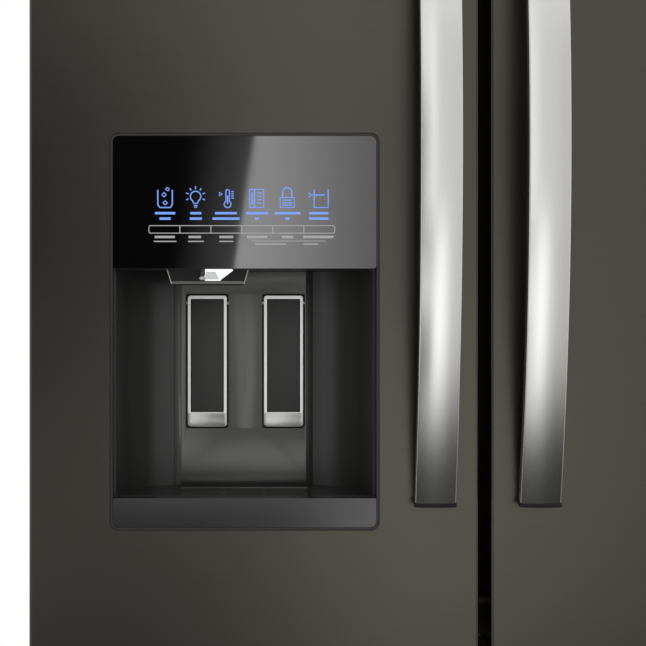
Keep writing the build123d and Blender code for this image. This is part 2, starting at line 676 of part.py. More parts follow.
# ---------------------------------------------------------------- handles
handles = {
    "left_door_handle": ((-handle_offset, door_middle), Vector(0, 0, 1), Vector(1, 0, 0)),
    "right_door_handle": ((handle_offset, door_middle), Vector(0, 0, 1), Vector(1, 0, 0)),
    "freezer_handle": ((0, drawer_top - drawer_handle_drop), Vector(1, 0, 0), Vector(0, 0, -1)),
}
half_bar = handle_length / 2
for name, ((bar_x, bar_z), along, across) in handles.items():
    centre = Vector(bar_x, 0, bar_z)
    end_y = door_front - handle_end_standoff
    apex_y = door_front - handle_projection
    with BuildPart() as handle:
        with BuildLine() as bow:
            ThreePointArc(
                centre - along * half_bar + Vector(0, end_y, 0),
                centre + Vector(0, apex_y, 0),
                centre + along * half_bar + Vector(0, end_y, 0),
            )
        with BuildSketch(Plane(origin=bow.line @ 0, x_dir=across, z_dir=bow.line % 0)) as section:
            with BuildLine():
                back = Line((-handle_width / 2, handle_thickness), (handle_width / 2, handle_thickness))
                right = Line(back @ 1, (handle_width / 2, handle_crown))
                crown = ThreePointArc(right @ 1, (0, 0), (-handle_width / 2, handle_crown))
                Line(crown @ 1, back @ 0)
            make_face()
            fillet(section.vertices().group_by(Axis.Y)[-1], 3)
            fillet(section.vertices().group_by(Axis.Y)[0], handle_edge_radius)
        sweep()
        for end in (-1, 1):
            foot = centre + along * (end * (half_bar - handle_foot_length / 2 - 5)) + Vector(0, door_front, 0)
            with BuildSketch(Plane(origin=foot, x_dir=across, z_dir=(0, -1, 0))):
                RectangleRounded(handle_foot_width, handle_foot_length, 6)
            extrude(amount=handle_end_standoff - 3)
    save(handle.part, name)

# ================================================================ dispenser
tray_half = tray_width / 2
pan_bottom = niche_floor - tray_height
with BuildPart() as dispenser_bezel:
    with BuildSketch(facing(door_front + bezel_depth)):
        with Locations((dispenser_centre, dispenser_middle)):
            RectangleRounded(dispenser_width, dispenser_height, dispenser_radius)
            RectangleRounded(dispenser_width - 2 * dispenser_rim, dispenser_height - 2 * dispenser_rim,
                             dispenser_radius - dispenser_rim, mode=Mode.SUBTRACT)
    extrude(amount=bezel_depth)
    # flange behind the door skin
    with BuildSketch(facing(door_front + sheet + bezel_flange_thickness)):
        with Locations((dispenser_centre, dispenser_middle)):
            Rectangle(2 * flange_half_width, 2 * flange_half_height)
            RectangleRounded(dispenser_width - 2 * dispenser_rim, dispenser_height - 2 * dispenser_rim,
                             dispenser_radius - dispenser_rim, mode=Mode.SUBTRACT)
    extrude(amount=bezel_flange_thickness)
    rim_half = dispenser_width / 2 - dispenser_rim
    plate_y = door_front + control_glass_thickness
    block(dispenser_centre - rim_half, dispenser_centre + rim_half, plate_y, plate_y + control_plate,
          glass_bottom, glass_top)
    block(dispenser_centre - rim_half, dispenser_centre + rim_half, plate_y, door_front + bezel_depth,
          glass_bottom, glass_bottom + niche_wall)
save(dispenser_bezel.part, "dispenser_bezel")

with BuildPart() as control_glass:
    with BuildSketch(facing(plate_y)) as glass_outline:
        with Locations((dispenser_centre, (glass_top + glass_bottom) / 2)):
            Rectangle(2 * rim_half - 2 * fit, control_glass_height - 2 * fit)
        fillet(glass_outline.vertices().group_by(Axis.Y)[-1], dispenser_radius - dispenser_rim)
        fillet(glass_outline.vertices().group_by(Axis.Y)[0], 3)
    extrude(amount=control_glass_thickness)
save(control_glass.part, "control_glass")


def niche_outline(front):
    """Plan of the dispenser niche: flared sides that bend in, then a proud back panel with bevelled sides."""
    with BuildSketch(Plane(origin=(dispenser_centre, door_front, 0), x_dir=(1, 0, 0), z_dir=(0, 0, 1))) as plan:
        with BuildLine():
            left_side = Line((-niche_half_front, front), (-niche_half_middle, niche_bend_depth))
            left_bend = TangentArc(left_side @ 1, (-niche_half_back, niche_depth), tangent=left_side % 1)
            left_bevel = Line(left_bend @ 1, (-paddle_panel_width / 2, paddle_panel_depth))
            back_side = Line(left_bevel @ 1, (paddle_panel_width / 2, paddle_panel_depth))
            Line(back_side @ 1, (niche_half_back, niche_depth))
            right_side = Line((niche_half_front, front), (niche_half_middle, niche_bend_depth))
            right_bend = TangentArc(right_side @ 1, (niche_half_back, niche_depth), tangent=right_side % 1)
            Line(left_side @ 0, right_side @ 0)
        make_face()
    return plan.sketch


paddle_middle = dispenser_centre + paddle_offset
paddles = {"ice": paddle_middle - paddle_pitch / 2, "water": paddle_middle + paddle_pitch / 2}
pocket_half = paddle_width / 2 + paddle_gap
pocket_top = paddle_top + paddle_gap
pocket_bottom = paddle_top - paddle_height - paddle_gap
paddle_pivot_y = door_front + paddle_panel_depth - 1.5 + paddle_thickness / 2
paddle_pivot_z = paddle_top - 8
with BuildPart() as recess_housing:
    outline = niche_outline(bezel_depth)
    with BuildSketch(Plane.XY.offset(niche_floor - niche_wall)):
        add(outline)
        offset(amount=niche_wall, kind=Kind.INTERSECTION)
    extrude(amount=niche_roof - niche_floor + 2 * niche_wall)
    # pockets behind the paddle panel and under the floor
    for x in paddles.values():
        block(x - pocket_half - niche_wall, x + pocket_half + niche_wall, door_front + niche_depth,
              door_front + pocket_depth + niche_wall, pocket_bottom - niche_wall, pocket_top + niche_wall)
    block(dispenser_centre - tray_half - fit - niche_wall, dispenser_centre + tray_half + fit + niche_wall,
          door_front + bezel_depth, door_front + tray_depth + fit + niche_wall, pan_bottom - fit - niche_wall,
          niche_floor)
    with BuildSketch(Plane.XY.offset(niche_floor)):
        add(niche_outline(bezel_depth - 8))
    extrude(amount=niche_roof - niche_floor, mode=Mode.SUBTRACT)
    block(dispenser_centre - dispenser_width, dispenser_centre + dispenser_width, door_front - 1,
          door_front + bezel_depth, pan_bottom - 10, niche_roof + 10, mode=Mode.SUBTRACT)
    block(dispenser_centre - tray_half - fit, dispenser_centre + tray_half + fit, door_front,
          door_front + tray_depth + fit, pan_bottom - fit, niche_floor + 1, mode=Mode.SUBTRACT)
    # cove between the back panel and the floor
    block(dispenser_centre - paddle_panel_width / 2, dispenser_centre + paddle_panel_width / 2,
          door_front + paddle_panel_depth - cove_radius, door_front + paddle_panel_depth + 0.5,
          niche_floor - 0.5, niche_floor + cove_radius)
    rod((dispenser_centre - niche_half_back, door_front + paddle_panel_depth - cove_radius - 0.1,
         niche_floor + cove_radius + 0.1), (1, 0, 0), cove_radius, 2 * niche_half_back, mode=Mode.SUBTRACT)
    # bead behind the tray
    block(dispenser_centre - tray_half, dispenser_centre + tray_half, door_front + tray_depth + fit,
          door_front + tray_depth + fit + tray_bead, niche_floor - niche_wall / 2, niche_floor + tray_bead)
    for x in paddles.values():
        with BuildSketch(facing(door_front + pocket_depth)):
            with Locations((x, (pocket_top + pocket_bottom) / 2)):
                RectangleRounded(2 * pocket_half, pocket_top - pocket_bottom, paddle_corner_radius + paddle_gap)
        extrude(amount=pocket_depth - paddle_panel_depth + 1, mode=Mode.SUBTRACT)
        rod((x - pocket_half - 1.6, paddle_pivot_y, paddle_pivot_z), (1, 0, 0), paddle_pin_radius + pin_fit,
            2 * pocket_half + 3.2, mode=Mode.SUBTRACT)
    block(chute_x - chute_width / 2 - fit, chute_x + chute_width / 2 + fit, door_front + chute_front - fit,
          door_front + chute_front + chute_depth + fit, niche_roof - 1, niche_roof + niche_wall + 1,
          mode=Mode.SUBTRACT)
save(recess_housing.part, "recess_housing")

for name, x in paddles.items():
    front_y = paddle_pivot_y - paddle_thickness / 2
    with BuildPart() as paddle:
        with BuildSketch(facing(front_y + paddle_thickness)):
            with Locations((x, paddle_top - paddle_height / 2)):
                RectangleRounded(paddle_width, paddle_height, paddle_corner_radius)
        extrude(amount=paddle_thickness)
        fillet(paddle.part.faces().sort_by(Axis.Y)[0].edges(), 0.8)
        # recess for the soft pad, over a broad lip
        with BuildSketch(facing(front_y + pad_recess)):
            with Locations((x, paddle_top - paddle_height / 2 + (paddle_lip - paddle_frame_top) / 2)):
                RectangleRounded(paddle_width - 2 * paddle_frame_side, paddle_height - paddle_frame_top - paddle_lip, 1)
        extrude(amount=pad_recess + 1, mode=Mode.SUBTRACT)
        rod((x - pocket_half - 1.2, paddle_pivot_y, paddle_pivot_z), (1, 0, 0), paddle_pin_radius, 2 * pocket_half + 2.4)
    save(paddle.part, f"{name}_paddle")

lip_height = niche_floor - dispenser_bottom - dispenser_rim - 2 * fit
with BuildPart() as drip_tray:
    with BuildSketch(facing(door_front + bezel_depth)) as lip:
        with Locations((dispenser_centre, dispenser_bottom + dispenser_rim + fit + lip_height / 2)):
            Rectangle(2 * rim_half - 2 * fit, lip_height)
        fillet(lip.vertices().group_by(Axis.Y)[0], dispenser_radius - dispenser_rim)
        fillet(lip.vertices().group_by(Axis.Y)[-1], 1)
    extrude(amount=bezel_depth)
    pan_top = niche_floor - fit
    block(dispenser_centre - tray_half, dispenser_centre + tray_half, door_front + bezel_depth, door_front + tray_depth,
          pan_bottom, pan_top)
    block(dispenser_centre - tray_half + 2, dispenser_centre + tray_half - 2, door_front + bezel_depth + 1,
          door_front + tray_depth - 2, pan_bottom + 2, pan_top + 1, mode=Mode.SUBTRACT)
    block(dispenser_centre - tray_half + 2, dispenser_centre - tray_half + 5, door_front + bezel_depth + 1,
          door_front + tray_depth - 2, pan_bottom + 2, pan_top - grille_thickness)
    block(dispenser_centre + tray_half - 5, dispenser_centre + tray_half - 2, door_front + bezel_depth + 1,
          door_front + tray_depth - 2, pan_bottom + 2, pan_top - grille_thickness)
save(drip_tray.part, "drip_tray")

with BuildPart() as drip_grille:
    grille_y = door_front + bezel_depth + 1 + (tray_depth - bezel_depth - 3) / 2
    with BuildSketch(Plane.XY.offset(pan_top - grille_thickness)):
        with Locations((dispenser_centre, grille_y)):
            Rectangle(tray_width - 4 - 2 * fit, tray_depth - bezel_depth - 3 - 2 * fit)
            with GridLocations(40, 6, 3, 7):
                Rectangle(36, 2.4, mode=Mode.SUBTRACT)
    extrude(amount=grille_thickness)
save(drip_grille.part, "drip_grille")

chute_y = door_front + chute_front + chute_depth / 2
with BuildPart() as ice_chute:
    block(chute_x - chute_width / 2, chute_x + chute_width / 2, chute_y - chute_depth / 2, chute_y + chute_depth / 2,
          niche_roof, chute_inlet_top)
    block(chute_x - chute_width / 2, chute_x + chute_width / 2, chute_y, chute_end_y,
          chute_inlet_top - chute_inlet_height, chute_inlet_top)
    with BuildSketch(Plane.XY.offset(niche_roof)):
        with Locations((chute_x, chute_y)):
            Rectangle(chute_width, chute_depth)
    with BuildSketch(Plane.XY.offset(niche_roof - funnel_drop)):
        with Locations((chute_x, chute_y)):
            Rectangle(chute_width - 9, chute_depth - 9)
    loft()
    block(chute_x - chute_width / 2 + chute_wall, chute_x + chute_width / 2 - chute_wall,
          chute_y - chute_depth / 2 + chute_wall, chute_y + chute_depth / 2 - chute_wall,
          niche_roof, chute_inlet_top - chute_wall, mode=Mode.SUBTRACT)
    block(chute_x - chute_width / 2 + chute_wall, chute_x + chute_width / 2 - chute_wall, chute_y, chute_end_y + 1,
          chute_inlet_top - chute_inlet_height + chute_wall, chute_inlet_top - chute_wall, mode=Mode.SUBTRACT)
    with BuildSketch(Plane.XY.offset(niche_roof)):
        with Locations((chute_x, chute_y)):
            Rectangle(chute_width - 2 * chute_wall, chute_depth - 2 * chute_wall)
    with BuildSketch(Plane.XY.offset(niche_roof - funnel_drop)):
        with Locations((chute_x, chute_y)):
            Rectangle(chute_width - 9 - 2 * chute_wall, chute_depth - 9 - 2 * chute_wall)
    loft(mode=Mode.SUBTRACT)
    flap_pivot_y = chute_y + chute_depth / 2 - chute_wall - 3
    flap_pivot_z = niche_roof + 12
    rod((chute_x - chute_width / 2 - 1, flap_pivot_y, flap_pivot_z), (1, 0, 0), 1.2 + pin_fit, chute_width + 2,
        mode=Mode.SUBTRACT)
save(ice_chute.part, "ice_chute")

with BuildPart() as chute_flap:
    flap_half = chute_width / 2 - chute_wall - 0.6
    block(chute_x - flap_half, chute_x + flap_half, chute_y - chute_depth / 2 + chute_wall + 1.5, flap_pivot_y,
          flap_pivot_z - 1, flap_pivot_z + 1)
    rod((chute_x - flap_half, flap_pivot_y, flap_pivot_z), (1, 0, 0), 2, 2 * flap_half)
    rod((chute_x - chute_width / 2 + 0.4, flap_pivot_y, flap_pivot_z), (1, 0, 0), 1.2, chute_width - 0.8)
save(chute_flap.part, "chute_flap")

with BuildPart() as mullion_bar:
    bar_half = mullion_thickness / 2
    bar_bottom = rail_top + mullion_end_gap
    bar_length = fresh_height - 2 * mullion_end_gap
    bar_y = case_front + bar_half
    with BuildSketch(Plane.XY.offset(bar_bottom)) as bar_plan:
        with Locations(((mullion_pivot_x + mullion_right) / 2, bar_y)):
            Rectangle(mullion_right - mullion_pivot_x, mullion_thickness)
        fillet(bar_plan.vertices().group_by(Axis.X)[-1], 3)
        with Locations((mullion_pivot_x, bar_y)):
            Circle(bar_half)
    extrude(amount=bar_length)
    for level in lug_levels:
        block(mullion_pivot_x - bar_half - 1, mullion_pivot_x + bar_half + 1, case_front - 1,
              case_front + mullion_thickness + 1, level - mullion_lug_height / 2 - fit,
              level + mullion_lug_height / 2 + fit, mode=Mode.SUBTRACT)
        rod((mullion_pivot_x, bar_y, level - mullion_lug_height / 2 - mullion_pin_reach - 1), (0, 0, 1),
            mullion_pin_radius + pin_fit, mullion_lug_height + 2 * mullion_pin_reach + 2, mode=Mode.SUBTRACT)
save(mullion_bar.part, "mullion_bar")

# ================================================================ fresh food fittings
shelf_levels = {-1: (1400.0, 1196.0), 1: (1528.0, 1344.0, 1166.0)}
ladder_width = 16.0
ladder_thickness = 8.0
ladder_bottom = 1036.0
ladder_top = 1668.0
ladder_places = (124.0, inner_half - 20)
tower_half = 100.0
tower_depth = 17.0
shelf_back = cavity_back - tower_depth - 2
shelf_rear_height = 34.0
shelf_front_height = 12.0

with BuildPart() as air_tower:
    with BuildSketch(Plane.XY.offset(ladder_bottom)):
        with BuildLine():
            wall_line = Line((-tower_half, cavity_back), (tower_half, cavity_back))
            right_edge = Line(wall_line @ 1, (tower_half, cavity_back - 8))
            bow_line = ThreePointArc(right_edge @ 1, (0, cavity_back - tower_depth), (-tower_half, cavity_back - 8))
            Line(bow_line @ 1, wall_line @ 0)
        make_face()
    extrude(amount=ladder_top - ladder_bottom)
    with BuildSketch(facing(cavity_back - 4)):
        with Locations((0, (ladder_top + ladder_bottom) / 2)):
            with GridLocations(96, 84, 2, 7):
                Rectangle(64, 10)
    extrude(amount=20, mode=Mode.SUBTRACT)
save(air_tower.part, "air_tower")

with BuildPart() as shelf_ladders:
    for side, levels in shelf_levels.items():
        for place in ladder_places:
            ladder_x = side * place
            block(ladder_x - ladder_width / 2, ladder_x + ladder_width / 2, cavity_back - ladder_thickness, cavity_back,
                  ladder_bottom, ladder_top)
            with BuildSketch(facing(cavity_back - ladder_thickness + 3)):
                with Locations((ladder_x, (ladder_bottom + ladder_top) / 2)):
                    with GridLocations(1, 26, 1, 23):
                        Rectangle(5, 14)
            extrude(amount=4, mode=Mode.SUBTRACT)
            # cantilever brackets that hook into the ladder
            for level in levels:
                top = level - shelf_glass
                with BuildSketch(Plane.YZ.offset(ladder_x - shelf_bracket / 2)):
                    with BuildLine():
                        Polyline(
                            (cavity_back - ladder_thickness + 3, top),
                            (shelf_front + 12, top),
                            (shelf_front + 12, top - shelf_front_height),
                            (cavity_back - ladder_thickness - 60, top - shelf_rear_height),
                            (cavity_back - ladder_thickness + 3, top - shelf_rear_height),
                            close=True,
                        )
                    make_face()
                extrude(amount=shelf_bracket)
save(shelf_ladders.part, "shelf_ladders")

with BuildPart() as glass_shelves:
    for side, levels in shelf_levels.items():
        for level in levels:
            with BuildSketch(Plane.XY.offset(level - shelf_glass)):
                with Locations((side * inner_half / 2, (shelf_front + shelf_back) / 2)):
                    RectangleRounded(inner_half - 2 * shelf_edge_gap, shelf_back - shelf_front, 8)
            extrude(amount=shelf_glass)
save(glass_shelves.part, "glass_shelves")

# rack over the crispers: moulded frame on side ledges, glass lids and a centre wall
with BuildPart() as crisper_rack:
    block(-inner_half + fit, inner_half - fit, crisper_front - 4, shelf_back, crisper_top, crisper_top + rack_height)
    with BuildSketch(Plane.XY.offset(crisper_top)):
        with Locations((0, (crisper_front + shelf_back) / 2)):
            with GridLocations(inner_half - rack_bar / 2, 1, 2, 1):
                RectangleRounded(inner_half - 1.5 * rack_bar, shelf_back - crisper_front - 2 * rack_bar, 10)
    extrude(amount=rack_height, mode=Mode.SUBTRACT)
    block(-4, 4, crisper_front + 10, shelf_back - 40, rail_top, crisper_top)
    fillet(crisper_rack.part.edges().filter_by(Axis.X).group_by(Axis.Y)[0], 4)
save(crisper_rack.part, "crisper_rack")

crisper_floor = rail_top + fit
crisper_inner = 4 + 1.5
crisper_outer = inner_half - rack_ledge - 3
for name, side in (("left", -1), ("right", 1)):
    crisper_x = side * (crisper_inner + crisper_outer) / 2
    crisper_width = crisper_outer - crisper_inner
    with BuildPart() as crisper:
        with BuildSketch(Plane.XY.offset(crisper_floor + crisper_height)):
            with Locations((crisper_x, crisper_front + crisper_depth / 2)):
                RectangleRounded(crisper_width, crisper_depth, 16)
        extrude(amount=-crisper_height, taper=2)
        with BuildSketch(Plane.XY.offset(crisper_floor + crisper_height)):
            with Locations((crisper_x, crisper_front + crisper_depth / 2)):
                RectangleRounded(crisper_width - 2 * plastic_wall, crisper_depth - 2 * plastic_wall, 16 - plastic_wall)
        extrude(amount=plastic_wall - crisper_height, taper=2, mode=Mode.SUBTRACT)
        # pull lip across the front
        block(crisper_x - crisper_width / 2 + 24, crisper_x + crisper_width / 2 - 24, crisper_front - 8,
              crisper_front + plastic_wall, crisper_floor + crisper_height - 6, crisper_floor + crisper_height)
        block(crisper_x - crisper_width / 2 + 24, crisper_x + crisper_width / 2 - 24, crisper_front - 8,
              crisper_front - 5.5, crisper_floor + crisper_height - 22, crisper_floor + crisper_height)
    save(crisper.part, f"crisper_{name}")

# ice maker compartment in the upper left corner, with its bucket
ice_x0 = -inner_half + 4
ice_x1 = ice_x0 + ice_box_width
ice_y1 = ice_box_front + ice_box_depth
ice_ledge_z = chute_inlet_top + 4
with BuildPart() as ice_compartment:
    block(-inner_half, ice_x1, ice_box_front, ice_y1, ice_box_bottom, fresh_top - liner_radius)
    block(ice_x0 + ice_box_wall, ice_x1 - ice_box_wall, ice_box_front - 1, ice_y1 - ice_box_wall,
          ice_box_bottom + ice_box_wall, fresh_top - liner_radius - ice_box_wall, mode=Mode.SUBTRACT)
    for x, inward in ((ice_x0 + ice_box_wall, 1), (ice_x1 - ice_box_wall, -1)):
        block(x, x + inward * 10, ice_box_front + 30, ice_y1 - ice_box_wall, ice_ledge_z - 4, ice_ledge_z)
    fillet(ice_compartment.part.edges().filter_by(Axis.Y).filter_by_position(Axis.X, ice_x1 - 1, ice_x1 + 1), 6)
    # tray ice maker above the bucket
    with BuildSketch(Plane.XZ.offset(-(ice_y1 - ice_box_wall))):
        with BuildLine():
            Polyline((ice_x0 + ice_box_wall + 30, 1662), (ice_x1 - ice_box_wall - 30, 1662),
                     (ice_x1 - ice_box_wall - 44, 1646), (ice_x0 + ice_box_wall + 44, 1646), close=True)
        make_face()
    extrude(amount=240)
save(ice_compartment.part, "ice_compartment")

bucket_x0 = ice_x0 + ice_box_wall + 2
bucket_x1 = ice_x1 - ice_box_wall - 2
with BuildPart() as ice_bucket:
    bucket_floor = ice_ledge_z + fit
    bucket_top = 1640.0
    block(bucket_x0, bucket_x1, ice_box_front + 12, ice_y1 - ice_box_wall - 14, bucket_floor, bucket_top - 12)
    block(bucket_x0 + plastic_wall, bucket_x1 - plastic_wall, ice_box_front + 12 + plastic_wall,
          ice_y1 - ice_box_wall - 14 - plastic_wall, bucket_floor + plastic_wall, bucket_top, mode=Mode.SUBTRACT)
    block(bucket_x0, bucket_x1, ice_box_front + 2, ice_box_front + 12, bucket_floor, fresh_top - liner_radius - 12)
    fillet(ice_bucket.part.edges().filter_by(Axis.Z).group_by(Axis.Y)[0], 4)
save(ice_bucket.part, "ice_bucket")

# ================================================================ freezer drawer
drawer_z = (drawer_bottom + drawer_top) / 2
with BuildPart() as freezer_drawer_skin:
    with BuildSketch(facing(door_back)):
        with Locations((0, drawer_z)):
            Rectangle(overall_width, drawer_height)
    extrude(amount=door_thickness)
    front_edges = freezer_drawer_skin.part.faces().sort_by(Axis.Y)[0].edges()
    fillet(front_edges, door_corner_radius)
    block(-half_width + sheet, half_width - sheet, door_front + sheet, door_back - sheet, drawer_bottom + sheet,
          drawer_top - sheet, mode=Mode.SUBTRACT)
    block(-half_width + skin_return, half_width - skin_return, door_back - 2 * sheet, door_back + 1,
          drawer_bottom + skin_return, drawer_top - skin_return, mode=Mode.SUBTRACT)
save(freezer_drawer_skin.part, "freezer_drawer_skin")

drawer_ring = (-half_width + drawer_dike_inset, half_width - drawer_dike_inset, drawer_bottom + 62, drawer_top - 42)
with BuildPart() as freezer_drawer_foam:
    block(-half_width + sheet, half_width - sheet, door_front + sheet, door_back - sheet, drawer_bottom + sheet,
          drawer_top - sheet)
    block(-half_width + skin_return, half_width - skin_return, door_back - sheet, door_back,
          drawer_bottom + skin_return, drawer_top - skin_return)
    ring_prism(*drawer_ring, dike_width, drawer_dike_height, liner_wall)
save(freezer_drawer_foam.part, "freezer_drawer_foam")

with BuildPart() as freezer_drawer_liner:
    block(-half_width + 9, half_width - 9, door_back, door_back + liner_wall, drawer_bottom + 9, drawer_top - 9)
    ring_prism(*drawer_ring, dike_width, drawer_dike_height, 0)
    ring_prism(*drawer_ring, dike_width, drawer_dike_height, liner_wall, mode=Mode.SUBTRACT)
save(freezer_drawer_liner.part, "freezer_drawer_liner")

with BuildPart() as freezer_drawer_gasket:
    gasket_ring(-half_width + gasket_inset, half_width - gasket_inset, drawer_bottom + gasket_inset,
                drawer_top - gasket_inset)
save(freezer_drawer_gasket.part, "freezer_drawer_gasket")

# telescopic slides: three nested channels on each side
slide_z = 300.0
slide_length = 470.0
slide_depth = 13.0
slide_steel = 1.5
slide_gap = 0.4
slide_start = case_front + 12


def channel(side, web_x, tip_x, half_height, start, end):
    """A C-channel along Y: its web stands at web_x and its flanges reach to tip_x."""
    inward = 1 if abs(tip_x) > abs(web_x) else -1
    block(side * web_x, side * (web_x + inward * slide_steel), start, end, slide_z - half_height, slide_z + half_height)
    for edge in (-1, 1):
        block(side * web_x, side * tip_x, start, end, slide_z + edge * half_height,
              slide_z + edge * (half_height - slide_steel))


outer_half = 24.0
middle_half = outer_half - slide_steel - slide_gap
inner_member_half = middle_half - slide_steel - slide_gap
middle_web = inner_half - slide_steel - slide_gap
inner_web = inner_half - slide_depth
inner_tip = middle_web - slide_steel - slide_gap
ledge_width = 8.0
with BuildPart() as freezer_slide_outer:
    for side in (-1, 1):
        channel(side, inner_half, inner_half - slide_depth + 2.5, outer_half, slide_start, slide_start + slide_length)
save(freezer_slide_outer.part, "freezer_slide_outer")

with BuildPart() as freezer_slide_middle:
    for side in (-1, 1):
        channel(side, middle_web, inner_half - slide_depth + 2.5, middle_half, slide_start, slide_start + slide_length - 2)
save(freezer_slide_middle.part, "freezer_slide_middle")

with BuildPart() as freezer_slide_inner:
    for side in (-1, 1):
        channel(side, inner_web, inner_tip, inner_member_half, door_back + liner_wall, slide_start + slide_length - 4)
        # ledge that carries the basket
        block(side * (inner_web - ledge_width), side * inner_web, slide_start + 8, slide_start + slide_length - 4,
              slide_z - slide_steel, slide_z)
        # foot that bolts to the drawer's liner
        block(side * (inner_web - 4), side * (inner_web + slide_steel), door_back + liner_wall,
              door_back + liner_wall + 3, slide_z - 34, slide_z + 34)
save(freezer_slide_inner.part, "freezer_slide_inner")

basket_half = inner_web - ledge_width - 1
lower_basket_front = slide_start + 8
lower_basket_back = freezer_step_y - 12
lower_basket_bottom = 146.0
lower_basket_top = 430.0
basket_wall = 3.0
basket_slot_pitch = 34.0


def basket(half, front, back, bottom, top):
    """A moulded freezer basket with slotted front and back walls."""
    middle = (front + back) / 2
    with BuildSketch(Plane.XY.offset(top)) as rim:
        with Locations((0, middle)):
            RectangleRounded(2 * half, back - front, 18)
    extrude(rim.sketch, amount=bottom - top, taper=1.5)
    with BuildSketch(Plane.XY.offset(top)) as hollow:
        with Locations((0, middle)):
            RectangleRounded(2 * half - 2 * basket_wall, back - front - 2 * basket_wall, 18 - basket_wall)
    extrude(hollow.sketch, amount=bottom - top + basket_wall, taper=1.5, mode=Mode.SUBTRACT)
    rows = int((top - bottom - 50) // basket_slot_pitch)
    with BuildSketch(facing(back + 1)) as windows:
        with Locations((0, (top + bottom) / 2)):
            with GridLocations(2 * basket_slot_pitch, basket_slot_pitch, 9, rows):
                Rectangle(basket_slot_pitch * 1.4, basket_slot_pitch / 3)
    extrude(windows.sketch, amount=back - front + 2, mode=Mode.SUBTRACT)


with BuildPart() as freezer_basket_lower:
    basket(basket_half, lower_basket_front, lower_basket_back, lower_basket_bottom, lower_basket_top)
    for side in (-1, 1):
        block(side * (basket_half - 6), side * (inner_web - fit), lower_basket_front + 22, lower_basket_back - 22,
              slide_z, slide_z + 5)
save(freezer_basket_lower.part, "freezer_basket_lower")

upper_basket_bottom = 470.0
upper_basket_top = basket_rib_top + 8
with BuildPart() as freezer_basket_upper:
    basket(inner_half - basket_rib_width - 3, upper_basket_front, upper_basket_back, upper_basket_bottom,
           upper_basket_top)
    for side in (-1, 1):
        block(side * (inner_half - basket_rib_width - 6), side * (inner_half - 3), upper_basket_front + 22,
              upper_basket_back - 22, basket_rib_top + fit, basket_rib_top + 5)
save(freezer_basket_upper.part, "freezer_basket_upper")

# ================================================================ machine compartment
machine_floor = deck_z + base_sheet
cover_y = panel_back - 16
compressor_x = 230.0
compressor_y = (machine_front + cover_y) / 2
with BuildPart() as compressor:
    with BuildSketch(Plane.XZ.offset(-compressor_y)):
        with BuildLine():
            base_line = Line((compressor_x, machine_floor + 14), (compressor_x + 58, machine_floor + 14))
            low = JernArc(base_line @ 1, (1, 0), 18, 90)
            wall = Line(low @ 1, (compressor_x + 76, machine_floor + 74))
            seam_out = Line(wall @ 1, (compressor_x + 80, machine_floor + 74))
            seam_up = Line(seam_out @ 1, (compressor_x + 80, machine_floor + 82))
            seam_in = Line(seam_up @ 1, (compressor_x + 76, machine_floor + 82))
            upper_wall = Line(seam_in @ 1, (compressor_x + 76, machine_floor + 104))
            shoulder = JernArc(upper_wall @ 1, (0, 1), 40, 90)
            crown = Line(shoulder @ 1, (compressor_x, machine_floor + 144))
            Line(crown @ 1, base_line @ 0)
        make_face()
    revolve(axis=Axis((compressor_x, compressor_y, 0), (0, 0, 1)))
    block(compressor_x - 104, compressor_x + 104, compressor_y - 56, compressor_y + 56, machine_floor + 12, machine_floor + 15)
    with Locations((compressor_x, compressor_y, machine_floor + 6)):
        with GridLocations(184, 90, 2, 2):
            Cylinder(12, 12)
    for offset_x in (-40, 40):
        rod((compressor_x + offset_x, compressor_y - 40, machine_floor + 100), (0, 0, 1), 4, 90)
save(compressor.part, "compressor")

fan_x = 20.0
fan_z = machine_floor + 116
fan_radius = 70.0
shroud_size = 168.0
coil_x0 = -250.0
coil_length = 160.0
coil_half = 70.0
coil_tube_radius = 4.5
coil_tube_pitch = 44.0
fin_count = 12
fin_thickness = 1.4
with BuildPart() as condenser_unit:
    # shroud with a round throat and a motor strut
    block(fan_x - 14, fan_x + 14, compressor_y - shroud_size / 2, compressor_y + shroud_size / 2, machine_floor,
          fan_z + shroud_size / 2)
    rod((fan_x - 15, compressor_y, fan_z), (1, 0, 0), fan_radius + 5, 30, mode=Mode.SUBTRACT)
    block(fan_x - 34, fan_x - 22, compressor_y - 9, compressor_y + 9, machine_floor, fan_z + 12)
    rod((fan_x - 48, compressor_y, fan_z), (1, 0, 0), 26, 26)
    rod((fan_x - 49, compressor_y, fan_z), (1, 0, 0), 3 + pin_fit, 60, mode=Mode.SUBTRACT)
    block(fan_x - 34, fan_x - 14, compressor_y - 60, compressor_y + 60, machine_floor, machine_floor + 3)
    # condenser coil: fins between two end plates with tube rows
    coil_middle_z = (machine_floor + fan_z + coil_half) / 2
    with Locations((coil_x0 + coil_length / 2, compressor_y, coil_middle_z)):
        with GridLocations(coil_length / fin_count, 1, fin_count - 1, 1):
            Box(fin_thickness, 2 * coil_half, fan_z + coil_half - machine_floor - 12)
    with BuildSketch(Plane(origin=(coil_x0 - 12, compressor_y, coil_middle_z), x_dir=(0, 1, 0), z_dir=(1, 0, 0))):
        with GridLocations(coil_half, coil_tube_pitch, 2, 4):
            RegularPolygon(coil_tube_radius, 6)
    extrude(amount=coil_length + 24)
    for end_x in (coil_x0, coil_x0 + coil_length):
        block(end_x - 1.5, end_x + 1.5, compressor_y - coil_half - 4, compressor_y + coil_half + 4, machine_floor,
              fan_z + coil_half + 4)
save(condenser_unit.part, "condenser_unit")

